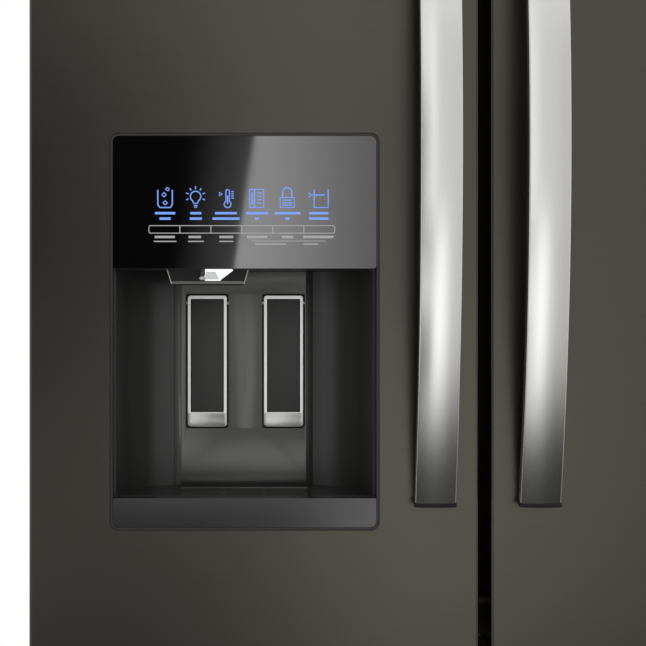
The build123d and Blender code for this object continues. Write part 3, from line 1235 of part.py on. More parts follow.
with BuildPart() as condenser_fan:
    rod((fan_x - 44, compressor_y, fan_z), (1, 0, 0), 3, 64)
    rod((fan_x - 16, compressor_y, fan_z), (1, 0, 0), 20, 32)
    blade_count = 5
    for index in range(blade_count):
        turn = index * 360 / blade_count
        hub_plane = Plane(origin=(fan_x, compressor_y, fan_z),
                          x_dir=(1, 0, 0),
                          z_dir=(0, math.cos(math.radians(turn)), math.sin(math.radians(turn))))
        with BuildSketch(hub_plane.offset(17)):
            Rectangle(3, 26, rotation=38)
        with BuildSketch(hub_plane.offset(fan_radius - 4)):
            Rectangle(2, 44, rotation=62)
        loft()
save(condenser_fan.part, "condenser_fan")

cover_sheet = 2.0
valve_x = 384.0
valve_z = 180.0
valve_body_radius = 14.0
nipple_radius = 5.55
nipple_length = 12.0
gland_x = -384.0
gland_bore = 4.2
with BuildPart() as machine_cover:
    block(-rail_in, rail_in, cover_y, cover_y + cover_sheet, deck_z - 8, machine_top)
    with BuildSketch(facing(cover_y + cover_sheet + 1)):
        with Locations((0, (machine_top + deck_z) / 2)):
            with GridLocations(84, 26, 8, 8):
                Rectangle(68, 9)
    extrude(amount=cover_sheet + 2, mode=Mode.SUBTRACT)
    for x in (valve_x, gland_x):
        with BuildSketch(facing(cover_y + cover_sheet)):
            with Locations((x, valve_z)):
                Rectangle(68, 76)
        extrude(amount=cover_sheet)
    rod((valve_x, cover_y - 1, valve_z), (0, 1, 0), valve_body_radius + fit, cover_sheet + 2, mode=Mode.SUBTRACT)
    rod((gland_x, cover_y - 1, valve_z), (0, 1, 0), gland_bore, cover_sheet + 2, mode=Mode.SUBTRACT)
save(machine_cover.part, "machine_cover")

# rear fittings: water inlet valve with its compression nipple, and the cord gland
with BuildPart() as rear_fittings:
    with BuildSketch(facing(case_back - nipple_length)):
        with Locations((valve_x, valve_z)):
            RectangleRounded(52, 64, 5)
    extrude(amount=case_back - nipple_length - cover_y - cover_sheet)
    rod((valve_x, case_back - nipple_length, valve_z), (0, 1, 0), nipple_radius, nipple_length)
    rod((valve_x, cover_y + cover_sheet, valve_z), (0, -1, 0), valve_body_radius, 34)
    rod((gland_x, cover_y + cover_sheet, valve_z), (0, 1, 0), 13, 5)
    rod((gland_x, cover_y + cover_sheet, valve_z), (0, 1, 0), 9, 16)
    rod((gland_x, cover_y + cover_sheet - 1, valve_z), (0, 1, 0), gland_bore, 20, mode=Mode.SUBTRACT)
save(rear_fittings.part, "rear_fittings")
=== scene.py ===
"""French door refrigerator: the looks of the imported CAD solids.

Doors, drawer and handles keep their CAD solids and get their real finishes here. The control panel's
print, the dispenser's plate, lamp and nozzle, the trims, lamp and water filter of the cabin, the
tubes of the machine compartment and the small fasteners are modelled here and ride on the bodies.
Sizes of the refrigerator are in mm; those of the studio are in metres.
"""

import logging
import math
from dataclasses import dataclass
from enum import Enum
from typing import Iterable, Sequence

import bpy
from mathutils import Matrix, Vector


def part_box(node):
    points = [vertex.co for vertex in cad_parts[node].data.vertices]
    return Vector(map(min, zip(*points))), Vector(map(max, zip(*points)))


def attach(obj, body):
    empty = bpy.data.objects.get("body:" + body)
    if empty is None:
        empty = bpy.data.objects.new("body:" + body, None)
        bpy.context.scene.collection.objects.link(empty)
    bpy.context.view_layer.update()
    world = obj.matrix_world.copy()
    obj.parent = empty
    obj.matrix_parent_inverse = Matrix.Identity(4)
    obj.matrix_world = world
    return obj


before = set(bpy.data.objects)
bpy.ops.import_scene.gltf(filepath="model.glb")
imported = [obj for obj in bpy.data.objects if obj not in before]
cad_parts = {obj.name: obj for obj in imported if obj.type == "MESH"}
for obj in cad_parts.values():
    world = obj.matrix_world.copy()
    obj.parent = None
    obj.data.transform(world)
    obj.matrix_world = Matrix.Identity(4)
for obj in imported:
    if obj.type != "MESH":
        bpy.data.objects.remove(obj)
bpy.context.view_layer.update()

LOG = logging.getLogger("refrigerator")
MM = 0.001
CREASE = math.radians(40)  # faces that meet at less than this are shaded as one

Point = tuple[float, float]
Point3 = tuple[float, float, float]
Colour = tuple[float, float, float, float]
Solid = bpy.types.Object
Tree = bpy.types.NodeTree
Node = bpy.types.Node
Socket = bpy.types.NodeSocket


# ------------------------------------------------------------------ colours and shader nodes
def linear(hex_colour: str) -> Colour:
    """Turns an sRGB hex colour into linear values.

    Args:
        hex_colour: six hex digits, such as "C8C8C4".

    Returns:
        Linear red, green and blue, with an alpha of one.
    """
    parts = [int(hex_colour[i:i + 2], 16) / 255 for i in (0, 2, 4)]
    red, green, blue = [p / 12.92 if p <= 0.04045 else ((p + 0.055) / 1.055) ** 2.4 for p in parts]
    return red, green, blue, 1.0


def add(tree: Tree, kind: str, settings: dict | None = None, links: dict | None = None) -> Node:
    """Adds a shader node with its settings and its links.

    Args:
        tree: the node tree.
        kind: the node's type, such as "ShaderNodeTexNoise".
        settings: attribute names or input names (or numbers) to values.
        links: input names (or numbers) to output sockets.

    Returns:
        The new node.
    """
    node = tree.nodes.new(kind)
    for key, value in (settings or {}).items():
        if isinstance(key, str) and hasattr(node, key) and key not in node.inputs:
            setattr(node, key, value)
        else:
            node.inputs[key].default_value = value
    for key, socket in (links or {}).items():
        tree.links.new(socket, node.inputs[key])
    return node


# ------------------------------------------------------------------ finishes
class Grain(Enum):
    """The direction in which a brushed surface was rubbed: its pattern is stretched along it."""

    ACROSS = (0.012, 1.0, 1.0)
    UPRIGHT = (1.0, 1.0, 0.012)


@dataclass(frozen=True)
class Surface:
    """What every finish has: a name, a colour, and a blank material to start from."""

    name: str
    colour: str

    def blank(self) -> tuple[bpy.types.Material, Node, Socket]:
        """Makes the material, still without its pattern.

        Returns:
            The material, its shader, and the object's own coordinates.
        """
        material = bpy.data.materials.new(self.name)
        material.use_nodes = True
        place = add(material.node_tree, "ShaderNodeTexCoord").outputs["Object"]
        return material, material.node_tree.nodes["Principled BSDF"], place

    def tones(self, spread: float) -> tuple[Colour, Colour]:
        """Works out two tones of the colour.

        Args:
            spread: how far each lies from the colour, as a part of it.

        Returns:
            The darker tone and the paler one.
        """
        base = linear(self.colour)[:3]
        return tuple(c * (1 - spread) for c in base) + (1.0,), tuple(min(1.0, c * (1 + spread)) for c in base) + (1.0,)

    def wear(self, material: bpy.types.Material, tint: Socket, uneven: Socket, polish: Point, height: Socket,
             relief: Point) -> None:
        """Links the tint, the uneven polish and the fine relief to the shader.

        Args:
            material: the material.
            tint: the pattern's colour.
            uneven: the noise that the polish follows.
            polish: the lowest and the highest roughness.
            height: the noise that the relief follows.
            relief: the bump's strength, and its depth in metres.
        """
        tree = material.node_tree
        sheen = add(tree, "ShaderNodeMapRange", {"To Min": polish[0], "To Max": polish[1]}, {"Value": uneven})
        bump = add(tree, "ShaderNodeBump", {"Strength": relief[0], "Distance": relief[1]}, {"Height": height})
        for name, socket in (("Base Color", tint), ("Roughness", sheen.outputs["Result"]),
                             ("Normal", bump.outputs["Normal"])):
            tree.links.new(socket, tree.nodes["Principled BSDF"].inputs[name])


@dataclass(frozen=True)
class BrushedSteel(Surface):
    """Stainless steel rubbed with an abrasive belt: fine parallel lines spread each highlight.

    The real lines are about 0.1 mm wide; line_mm draws them coarser, so that they still show.
    """

    grain: Grain
    roughness: float
    line_mm: float = 0.9
    tone: float = 0.10
    relief: float = 0.05
    patches: float = 5.0  # cloudy patches in a metre, where the belt pressed harder
    depth: float = 0.0004

    def build(self) -> bpy.types.Material:
        """Makes the material.

        Returns:
            The material.
        """
        material, shader, place = self.blank()
        tree = material.node_tree
        shader.inputs["Metallic"].default_value = 1.0
        along = add(tree, "ShaderNodeMapping", {"Scale": self.grain.value}, {"Vector": place})
        lines = add(tree, "ShaderNodeTexNoise", {"Scale": 1 / (self.line_mm * MM), "Detail": 3.0, "Roughness": 0.6},
                    {"Vector": along.outputs["Vector"]}).outputs["Fac"]
        patches = add(tree, "ShaderNodeTexNoise", {"Scale": self.patches, "Detail": 2.0}, {"Vector": place})
        dark, pale = self.tones(self.tone)
        tint = add(tree, "ShaderNodeMix", {"data_type": "RGBA", 6: dark, 7: pale}, {0: lines})
        self.wear(material, tint.outputs[2], patches.outputs["Fac"], (self.roughness - 0.03, self.roughness + 0.04),
                  lines, (self.relief, self.depth))
        return material


@dataclass(frozen=True)
class PaintedFootShade:
    """Painted shade: a darker colour at a moulding's foot, where the shade falls, which thins out upwards between two
    heights in mm.
    """

    colour: str
    low_mm: float
    high_mm: float


@dataclass(frozen=True)
class Moulded(Surface):
    """Plastic, enamel or rubber with a fine pebble left by the tool or the spray.

    The real pebble is a few tenths of a millimetre; pebble_mm draws it coarser, so that it still shows.
    """

    roughness: float
    pebble_mm: float = 1.2
    relief: float = 0.08
    tone: float = 0.06
    metallic: float = 0.0
    coat: float = 0.0
    ior: float = 1.5
    alpha: float = 1.0
    # painted shade at the foot, if any
    foot: PaintedFootShade | None = None
    clouds: float = 9.0  # slow changes of tone in a metre, as handling and cleaning leave
    polish_spread: float = 0.04
    depth: float = 0.0003

    def build(self) -> bpy.types.Material:
        """Makes the material.

        Returns:
            The material.
        """
        material, shader, place = self.blank()
        tree = material.node_tree
        for name, value in (("Metallic", self.metallic), ("Coat Weight", self.coat), ("IOR", self.ior),
                            ("Alpha", self.alpha)):
            shader.inputs[name].default_value = value
        pebble = add(tree, "ShaderNodeTexNoise", {"Scale": 1 / (self.pebble_mm * MM), "Detail": 2.0}, {"Vector": place})
        cloud = add(tree, "ShaderNodeTexNoise", {"Scale": self.clouds, "Detail": 3.0}, {"Vector": place}).outputs["Fac"]
        dark, pale = self.tones(self.tone)
        tint = add(tree, "ShaderNodeMix", {"data_type": "RGBA", 6: dark, 7: pale}, {0: cloud})
        # painted shade: the colour turns darker towards the foot, where the shade falls
        if self.foot:
            split = add(tree, "ShaderNodeSeparateXYZ", {}, {0: place})
            rise = add(tree, "ShaderNodeMapRange",
                       {"interpolation_type": "SMOOTHSTEP", "From Min": self.foot.low_mm * MM,
                        "From Max": self.foot.high_mm * MM}, {"Value": split.outputs["Z"]})
            tint = add(tree, "ShaderNodeMix", {"data_type": "RGBA", 6: linear(self.foot.colour)},
                       {0: rise.outputs["Result"], 7: tint.outputs[2]})
        polish = (max(0.0, self.roughness - self.polish_spread), self.roughness + self.polish_spread)
        self.wear(material, tint.outputs[2], cloud, polish, pebble.outputs["Fac"], (self.relief, self.depth))
        return material


@dataclass(frozen=True)
class Glow(Surface):
    """A lit legend or lamp lens: its own light, a little uneven; on print, which gives no light, it is a painted glow.
    """

    strength: float
    clouds: float = 60.0
    dimmest: float = 0.85
    body_tone: float = 0.2

    def build(self) -> bpy.types.Material:
        """Makes the material.

        Returns:
            The material.
        """
        material, shader, place = self.blank()
        tree = material.node_tree
        lit = linear(self.colour)
        dim, body = (tuple(c * part for c in lit[:3]) + (1.0,) for part in (self.dimmest, self.body_tone))
        for name, value in (("Roughness", 0.35), ("Emission Strength", self.strength), ("Base Color", body)):
            shader.inputs[name].default_value = value
        cloud = add(tree, "ShaderNodeTexNoise", {"Scale": self.clouds}, {"Vector": place})
        tint = add(tree, "ShaderNodeMix", {"data_type": "RGBA", 6: dim, 7: lit}, {0: cloud.outputs["Fac"]})
        tree.links.new(tint.outputs[2], shader.inputs["Emission Color"])
        return material


class Finish(Enum):
    """Every finish of the refrigerator, each with what it gives the eye."""

    # warm dark steel: each highlight is drawn out sideways into soft bands
    BLACK_STAINLESS = BrushedSteel("brushed_black_stainless", "54514B", Grain.ACROSS, 0.3)
    # bright steel, brushed along the bar: long gradients from white to black
    SATIN_STAINLESS = BrushedSteel("satin_stainless_handle", "D6D6D3", Grain.UPRIGHT, 0.22, tone=0.03, relief=0.02)
    SATIN_STAINLESS_ACROSS = BrushedSteel("satin_stainless_drawer_handle", "D6D6D3", Grain.ACROSS, 0.22, tone=0.03,
                                          relief=0.02)
    # dark grey paint with an orange-peel pebble: even and without mirror images
    PAINTED_SIDE = Moulded("textured_enamel_cabinet", "3A3A3A", 0.42, pebble_mm=1.6, relief=0.25)
    # cool grey metal with the large soft flakes of zinc
    ZINC = Moulded("galvanised_steel", "A3A6A8", 0.38, pebble_mm=6.0, relief=0.04, tone=0.12, metallic=1.0)
    # plain satin paint, a shade paler than the sides
    RAIL = Moulded("enamelled_rail", "4A4A49", 0.4)
    # near-black plastic with a dull edge light
    BLACK_ABS = Moulded("black_moulded_abs", "1C1C1C", 0.45, relief=0.15)
    # clean cool white with a broad soft shine
    WHITE_LINER = Moulded("white_formed_hips", "E6E8E9", 0.3, pebble_mm=2.5, relief=0.04, tone=0.02)
    # see-through with a faint blue tint and sharp glints on its rims
    CLEAR_BIN = Moulded("clear_moulded_styrene", "E4EEF1", 0.12, relief=0.02, tone=0.02, alpha=0.45)
    # matt white, a little greyer than the liner
    FREEZER_BASKET = Moulded("white_moulded_polypropylene", "D9DCDD", 0.42, tone=0.02)
    # clearer than the bins, with a green tint and a mirror face
    SHELF_GLASS = Moulded("tempered_shelf_glass", "CFE3DF", 0.05, relief=0.0, tone=0.02, alpha=0.35)
    # deep black mirror, which carries the slanted edge of the light
    BLACK_GLASS = Moulded("black_backed_glass", "050505", 0.03, relief=0.0, tone=0.02, ior=2.05)
    # charcoal plastic: dark in its corners, a dim sheen on its bends
    NICHE = Moulded("dark_moulded_recess", "232322", 0.38, relief=0.12)
    # mid grey plastic that stands out from the recess, with painted shade that darkens it at its foot
    NICHE_PANEL = Moulded("moulded_back_plate", "545452", 0.4, relief=0.12, foot=PaintedFootShade("1C1C1B", 886.0, 914.0))
    # polished dark plastic: a soft image of the light on its right end
    TRAY = Moulded("dark_gloss_tray", "151515", 0.14, relief=0.03, ior=1.62)
    # silver paint: bright even lines round the pads
    PADDLE_FRAME = Moulded("silver_painted_abs", "DADBDB", 0.3, metallic=0.35, relief=0.03, tone=0.03)
    # pale steel, hollowed, so that it shades from white to grey
    PADDLE_LIP = BrushedSteel("brushed_steel_lip", "C2C2C0", Grain.UPRIGHT, 0.3, tone=0.02, relief=0.005)
    # matt charcoal rubber, and a near-black backing behind the pad that paints the shadow in the gap round it
    PADDLE_PAD = Moulded("soft_black_pad", "252423", 0.5, relief=0.2)
    PAD_PAINTED_SHADOW = Moulded("black_pad_painted_shadow", "060606", 0.5)
    # a cap on each handle's end, whose dead black paints the shade of the dark band there
    END_CAP_PAINTED_SHADE = Moulded("black_rubber_end_cap_painted_shade", "040404", 0.7, relief=0.1)
    # dull grey rubber
    SEAL = Moulded("soft_vinyl_seal", "5A5A5A", 0.55, relief=0.1)
    # buff foam with open pores
    FOAM = Moulded("rigid_urethane_foam", "D9C58A", 0.85, pebble_mm=3.0, relief=0.5, tone=0.15)
    # dark waxy plastic
    NYLON = Moulded("moulded_nylon_roller", "2C2C2C", 0.5)
    # wet-looking black paint over a cast skin
    BLACK_ENAMEL = Moulded("gloss_compressor_enamel", "0E0E0E", 0.22, coat=0.5, pebble_mm=3.0)
    # pale soft metal
    ALUMINIUM = Moulded("mill_finish_aluminium", "B8BABC", 0.35, metallic=1.0, relief=0.05)
    # plain dark grey cover
    REAR_BOARD = Moulded("enamelled_rear_cover", "4C4C4B", 0.5)
    # ivory plastic
    VALVE = Moulded("natural_acetal_valve", "CFCFC8", 0.4)
    # periwinkle light of the lit legends, and pale grey print on the black glass with a painted glow, as print gives no
    # light of its own
    BLUE_LEGEND = Glow("blue_lit_legend", "7396EB", 1.0)
    WHITE_LEGEND_PAINTED_GLOW = Glow("pale_print_painted_glow", "B9B9B9", 0.55)
    # the white lamp over the glasses, brightest at its lens and frosted in its prism
    LAMP = Glow("lit_lamp_lens", "F4F7FA", 1.1)
    LAMP_PRISM = Glow("frosted_lamp_prism", "D8DADC", 0.62)
    # even white light in the cabin's roof
    CABIN_LAMP = Glow("led_cabin_lens", "FFFFFF", 1.0)
    # warm red metal
    COPPER = Moulded("drawn_copper_tube", "B87A56", 0.32, metallic=1.0, relief=0.04, tone=0.1)
    # small bright points
    STEEL_SCREW = Moulded("zinc_plated_screw", "B4B7B8", 0.34, metallic=1.0, relief=0.04)
    # pale silver edging
    TRIM = Moulded("satin_moulded_trim", "C9CCCE", 0.34, metallic=0.3, relief=0.03, tone=0.02)
    # mid grey for what a hand works
    GREY_PLASTIC = Moulded("grey_moulded_abs", "8C8F91", 0.42, relief=0.1)
    # the darkest plastic, where the ice comes out, with thin pale lines on its corners that paint their highlights
    FUNNEL = Moulded("dark_moulded_funnel", "171716", 0.34, relief=0.08)
    FUNNEL_EDGE_PAINTED_HIGHLIGHT = Moulded("funnel_edge_painted_highlight", "A2A2A0", 0.28, relief=0.02)
    # a grey dot of silicone beside the lamp
    NOZZLE_TIP = Moulded("grey_nozzle_tip", "9C9C9A", 0.32, relief=0.02)
    # a paler, glossy copy of the recess plastic that paints a fine line of light along a bend
    PANEL_EDGE_PAINTED_HIGHLIGHT = Moulded("panel_edge_painted_highlight", "4A4A48", 0.2, relief=0.03, coat=0.8)
    # warm-free white of small mouldings
    PURE_WHITE = Moulded("white_filter_housing", "ECEEEF", 0.3, relief=0.03, tone=0.02)
    # a thin dark plate that paints the shade in the slot behind a knob
    SLOT_PAINTED_SHADE = Moulded("slider_slot_painted_shade", "2A2B2C", 0.6, relief=0.1)


MATERIALS: dict[Finish, bpy.types.Material] = {}


def material_of(finish: Finish) -> bpy.types.Material:
    """Looks a finish's material up, and makes it the first time that it is asked for.

    Args:
        finish: the finish.

    Returns:
        Its one material.
    """
    if finish not in MATERIALS:
        MATERIALS[finish] = finish.value.build()
    return MATERIALS[finish]


def dress_node(node: str, finish: Finish) -> None:
    """Gives a CAD node its finish.

    Args:
        node: the CAD node's name.
        finish: what it is made of.
    """
    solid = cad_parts[node]
    for slot in solid.material_slots:
        slot.material = material_of(finish)
    if not solid.material_slots:
        solid.data.materials.append(material_of(finish))


# ------------------------------------------------------------------ modelling helpers
UP = Vector((0, 0, 1))
RIGHT = Vector((1, 0, 0))
REARWARD = Vector((0, 1, 0))


def pick(*pieces: Solid) -> None:
    """Leaves edit mode and selects these objects alone.

    Args:
        pieces: the objects, of which the first becomes the active one; none leaves nothing selected.
    """
    if bpy.context.object and bpy.context.object.mode != "OBJECT":
        bpy.ops.object.mode_set(mode="OBJECT")
    bpy.ops.object.select_all(action="DESELECT")
    for piece in pieces:
        piece.select_set(True)
    if pieces:
        bpy.context.view_layer.objects.active = pieces[0]


def settle(piece: Solid, name: str, finish: Finish, body: str) -> Solid:
    """Names a finished piece, puts its place in its mesh, dresses it and lets it ride.

    Args:
        piece: the mesh object.
        name: the piece's name.
        finish: what it is made of.
        body: the CAD body that it rides on.

    Returns:
        The piece.
    """
    pick(piece)
    bpy.ops.object.transform_apply(location=True, rotation=True, scale=True)
    piece.name = name
    piece.data.name = name
    piece.data.materials.clear()
    piece.data.materials.append(material_of(finish))
    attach(piece, body)
    LOG.info("made %s on %s", name, body)
    return piece


def apply_modifier(piece: Solid, kind: str, **values: object) -> None:
    """Adds a modifier and applies it.

    Args:
        piece: the mesh object.
        kind: the modifier's type, such as "BEVEL".
        values: the modifier's settings.
    """
    bpy.context.view_layer.objects.active = piece
    modifier = piece.modifiers.new(kind.lower(), kind)
    for key, value in values.items():
        setattr(modifier, key, value)
    bpy.ops.object.modifier_apply(modifier=modifier.name)


def rounded_bar(low: Sequence[float], high: Sequence[float], edge_mm: float, segments: int = 2) -> Solid:
    """Adds a bar between two corners (mm) with rounded edges.

    Args:
        low: the lowest corner, in mm.
        high: the highest corner, in mm.
        edge_mm: the radius of its edges.
        segments: faces around each edge.

    Returns:
        The new mesh object, still to be settled.
    """
    pick()
    centre = [(a + b) / 2 * MM for a, b in zip(low, high)]
    size = [abs(b - a) * MM for a, b in zip(low, high)]
    bpy.ops.mesh.primitive_cube_add(size=1, location=centre)
    piece = bpy.context.object
    piece.scale = size
    bpy.ops.object.transform_apply(location=False, rotation=False, scale=True)
    apply_modifier(piece, "BEVEL", width=edge_mm * MM, segments=segments, limit_method="ANGLE")
    bpy.ops.object.shade_smooth_by_angle(angle=CREASE)
    return piece


def turned(profile: Sequence[Point], centre: Sequence[float], axis: Vector, segments: int = 32) -> Solid:
    """Turns a profile of (radius, height) points about an axis, in mm.

    Args:
        profile: the (radius, height) points, from one end to the other.
        centre: the place of height zero, in mm.
        axis: the direction of growing height.
        segments: faces around.

    Returns:
        The new mesh object, still to be settled.
    """
    pick()
    bpy.ops.mesh.primitive_circle_add(vertices=segments, radius=profile[0][0] * MM, fill_type="NGON",
                                      location=(0, 0, 0))
    piece = bpy.context.object
    bpy.ops.object.mode_set(mode="EDIT")
    bpy.ops.mesh.select_all(action="SELECT")
    bpy.ops.transform.translate(value=(0, 0, profile[0][1] * MM))
    for (r0, h0), (r1, h1) in zip(profile, profile[1:]):
        bpy.ops.mesh.extrude_region_move(TRANSFORM_OT_translate={"value": (0, 0, (h1 - h0) * MM)})
        bpy.ops.transform.resize(value=(r1 / r0, r1 / r0, 1), center_override=(0, 0, h1 * MM))
    bpy.ops.mesh.select_all(action="SELECT")
    bpy.ops.mesh.normals_make_consistent(inside=False)
    bpy.ops.object.mode_set(mode="OBJECT")
    piece.matrix_world = (Matrix.Translation([c * MM for c in centre])
                          @ axis.to_track_quat("Z", "Y").to_matrix().to_4x4())
    bpy.ops.object.shade_smooth_by_angle(angle=CREASE)
    return piece


def drawn(name: str, dimensions: str, paths: Iterable[tuple[Sequence[Point3], bool]], kind: str = "POLY",
          **settings: object) -> Solid:
    """Draws a curve and turns it into a mesh.

    Args:
        name: the curve's name.
        dimensions: "2D" or "3D".
        paths: each path's points in mm, and whether it closes.
        kind: "POLY" for straight lines, or "NURBS" for smooth ones between the first and last points.
        settings: further settings of the curve.

    Returns:
        The new mesh object, which is the active one.
    """
    curve = bpy.data.curves.new(name, "CURVE")
    curve.dimensions = dimensions
    for key, value in settings.items():
        setattr(curve, key, value)
    for points, closed in paths:
        spline = curve.splines.new(kind)
        spline.points.add(len(points) - 1)
        for control, place in zip(spline.points, points):
            control.co = tuple(c * MM for c in place) + (1,)
        spline.use_cyclic_u = closed
        if kind == "NURBS":
            spline.order_u = 3
            spline.use_endpoint_u = True
    drawing = bpy.data.objects.new(name, curve)
    bpy.context.scene.collection.objects.link(drawing)
    pick(drawing)
    bpy.ops.object.convert(target="MESH")
    return bpy.context.object


def legend(paths: Iterable[tuple[Sequence[Point], bool]], origin: Sequence[float], line_mm: float,
           thick_mm: float) -> Solid:
    """Draws lines on the panel as one thin raised mesh.

    Args:
        paths: each path's (x, z) points in mm from the origin, and whether it closes.
        origin: the place of the drawing's middle on the panel, in mm.
        line_mm: the width of a line.
        thick_mm: how far the print stands off the glass.

    Returns:
        The new mesh object, still to be settled.
    """
    piece = drawn("legend", "3D", [([(x, 0, z) for x, z in points], closed) for points, closed in paths],
                  bevel_depth=line_mm / 2 * MM, bevel_resolution=1, use_fill_caps=True)
    piece.scale = (1, thick_mm / line_mm, 1)
    piece.location = [c * MM for c in origin]
    return piece


def pipe(points: Sequence[Point3], radius_mm: float) -> Solid:
    """Makes a smooth tube along points.

    Args:
        points: the points that the tube follows, in mm.
        radius_mm: the tube's radius.

    Returns:
        The new mesh object, still to be settled.
    """
    piece = drawn("pipe", "3D", [(points, False)], "NURBS", bevel_depth=radius_mm * MM, bevel_resolution=3,
                  use_fill_caps=True)
    bpy.ops.object.shade_smooth()
    return piece


class Axis(Enum):
    """The way that a profile is extruded, with the turn that brings it there."""

    X = ((0, 0, 1), (1, 0, 0), (0, 1, 0))
    Y = ((1, 0, 0), (0, 0, -1), (0, 1, 0))
    Z = ((1, 0, 0), (0, 1, 0), (0, 0, 1))


def moulding(profile: Sequence[Point], centre: Sequence[float], length: float, axis: Axis,
             edge_mm: float = 0.3) -> Solid:
    """Extrudes a closed profile and rounds its edges, in mm.

    Args:
        profile: its corners from the centre: (y, z) along X, (x, z) along Y or (x, y) along Z.
        centre: the place of the profile's zero, half way along.
        length: how long the moulding is.
        axis: the way that it runs.
        edge_mm: the radius of its edges.

    Returns:
        The new mesh object, still to be settled.
    """
    piece = drawn("moulding", "2D", [([(across, up, 0) for across, up in profile], True)], fill_mode="BOTH",
                  extrude=length / 2 * MM)
    bpy.ops.object.mode_set(mode="EDIT")
    bpy.ops.mesh.select_all(action="SELECT")
    bpy.ops.mesh.remove_doubles(threshold=MM / 100)
    bpy.ops.mesh.normals_make_consistent(inside=False)
    bpy.ops.object.mode_set(mode="OBJECT")
    piece.matrix_world = Matrix.Translation([c * MM for c in centre]) @ Matrix(axis.value).to_4x4()
    apply_modifier(piece, "BEVEL", width=edge_mm * MM, segments=2, limit_method="ANGLE")
    bpy.ops.object.shade_smooth_by_angle(angle=CREASE)
    return piece


def arc(x: float, z: float, radius: float, start: float, end: float, steps: int = 12) -> list[Point]:
    """Works out points along an arc.

    Args:
        x: the centre's first coordinate, in mm.
        z: its second one, in mm.
        radius: the arc's radius, in mm.
        start: the first point's direction, in degrees.
        end: the last point's direction, in degrees.
        steps: how many lines the arc is made of.

    Returns:
        The points, in mm.
    """
    turns = [math.radians(start + (end - start) * i / steps) for i in range(steps + 1)]
    return [(x + radius * math.cos(t), z + radius * math.sin(t)) for t in turns]


def joined(pieces: Sequence[Solid]) -> Solid:
    """Joins mesh objects.

    Args:
        pieces: the objects.

    Returns:
        The first of them, which now holds them all.
    """
    pick(*pieces)
    bpy.ops.object.join()
    return pieces[0]


def repeated(piece: Solid, steps: Iterable[Sequence[float]]) -> Solid:
    """Copies a piece to further places and joins all of them.

    Args:
        piece: the first one.
        steps: each copy's way from the first, in mm.

    Returns:
        The joined mesh object, still to be settled.
    """
    pieces = [piece]
    for step in steps:
        pick(piece)
        bpy.ops.object.duplicate(linked=False)
        copy = bpy.context.object
        copy.location = piece.location + Vector(step) * MM
        pieces.append(copy)
    return joined(pieces)


SCREW_DOME = ((1.0, 0.0), (1.0, 0.15), (0.85, 0.42), (0.5, 0.55), (0.34, 0.56), (0.3, 0.3), (0.05, 0.25))


def screws(places: Sequence[Point3], axis: Vector, head_mm: float) -> Solid:
    """Makes pan head screws with a socket.

    Args:
        places: each screw's seat, in mm.
        axis: the direction that the heads face.
        head_mm: the radius of a head.

    Returns:
        The joined mesh object, still to be settled.
    """
    first = places[0]
    head = turned([(r * head_mm, h * head_mm) for r, h in SCREW_DOME], first, axis, 14)
    return repeated(head, [[b - a for a, b in zip(first, place)] for place in places[1:]])


def low_high(node: str) -> tuple[list[float], list[float]]:
    """Measures a CAD node.

    Args:
        node: its name.

    Returns:
        Its lowest and its highest corner, in mm.
    """
    low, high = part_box(node)
    return [c / MM for c in low], [c / MM for c in high]


# ------------------------------------------------------------------ studio
@dataclass(frozen=True)
class Ramp:
    """A soft change of a card's light along one axis, in metres; "lean" is X less a part of Z."""

    name: str
    axis: str
    start: float
    end: float
    first: float
    last: float


@dataclass(frozen=True)
class Step:
    """Two of a card's lights put together, by a math operation or by a ramp that blends them."""

    name: str
    by: str
    first: str
    second: str


@dataclass(frozen=True)
class Lamp:
    """A square soft lamp: its place and aim and size in metres, and its power in watts."""

    name: str
    place: Point3
    aim: Point3
    size: float
    power: float


EDGE = -0.424  # where the wall's slanted edge meets the floor, in lean

WALL_RAMPS = (
    Ramp("left_dark", "lean", EDGE - 0.2, EDGE, 0.004, 0.3),
    Ramp("left_high", "Z", 1.62, 1.94, 0.0, 1.0),
    Ramp("left_inner", "X", -0.95, -0.45, 0.0, 1.0),
    Ramp("right_fall", "X", -0.26, 0.24, 2.15, 0.82),
    Ramp("edge_step", "lean", EDGE - 0.001, EDGE + 0.001, 0.0, 1.0),
    Ramp("knee", "lean", -0.18, 0.08, 0.06, 1.85),
    Ramp("far_left", "X", -1.0, -0.66, 1.0, 0.0),
    Ramp("waist_left", "X", -0.8, -0.5, 0.25, 1.4),
    Ramp("waist_rise", "Z", 0.44, 0.6, 0.0, 1.0),
    Ramp("waist_fall", "Z", 0.72, 0.86, 1.0, 0.2),
    Ramp("right_fade", "X", 0.3, 0.85, 1.0, 0.42),
    Ramp("far_right", "X", 0.9, 1.5, 1.0, 0.78),
    Ramp("foot", "Z", 0.0, 0.35, 0.85, 1.0),
    Ramp("split", "Z", 0.98, 1.12, 0.0, 1.0),
)
WALL_STEPS = (
    Step("left_band", "MULTIPLY", "left_high", "left_inner"),
    Step("upper_left", "ADD", "left_dark", "left_band"),
    Step("upper", "edge_step", "upper_left", "right_fall"),
    Step("waist_side", "MULTIPLY", "waist_left", "waist_fall"),
    Step("waist", "MAXIMUM", "knee", "waist_side"),
    Step("base", "ADD", "knee", "far_left"),
    Step("lower", "waist_rise", "base", "waist"),
    Step("lower_faded", "MULTIPLY", "lower", "right_fade"),
    Step("lower_footed", "MULTIPLY", "lower_faded", "foot"),
    Step("both", "split", "lower_footed", "upper"),
    Step("light", "MULTIPLY", "both", "far_right"),
)
CLOTH_RAMPS = (
    Ramp("depth", "Y", -2.02, -3.0, 0.0, 1.25),
    Ramp("left", "X", -0.55, 0.0, 0.12, 1.0),
    Ramp("right", "X", 0.15, 1.0, 1.0, 0.3),
    Ramp("near", "Y", -1.3, -0.95, 0.0, 0.2),
)
CLOTH_STEPS = (
    Step("one_side", "MULTIPLY", "depth", "left"),
    Step("both_sides", "MULTIPLY", "one_side", "right"),
    Step("light", "ADD", "both_sides", "near"),
)
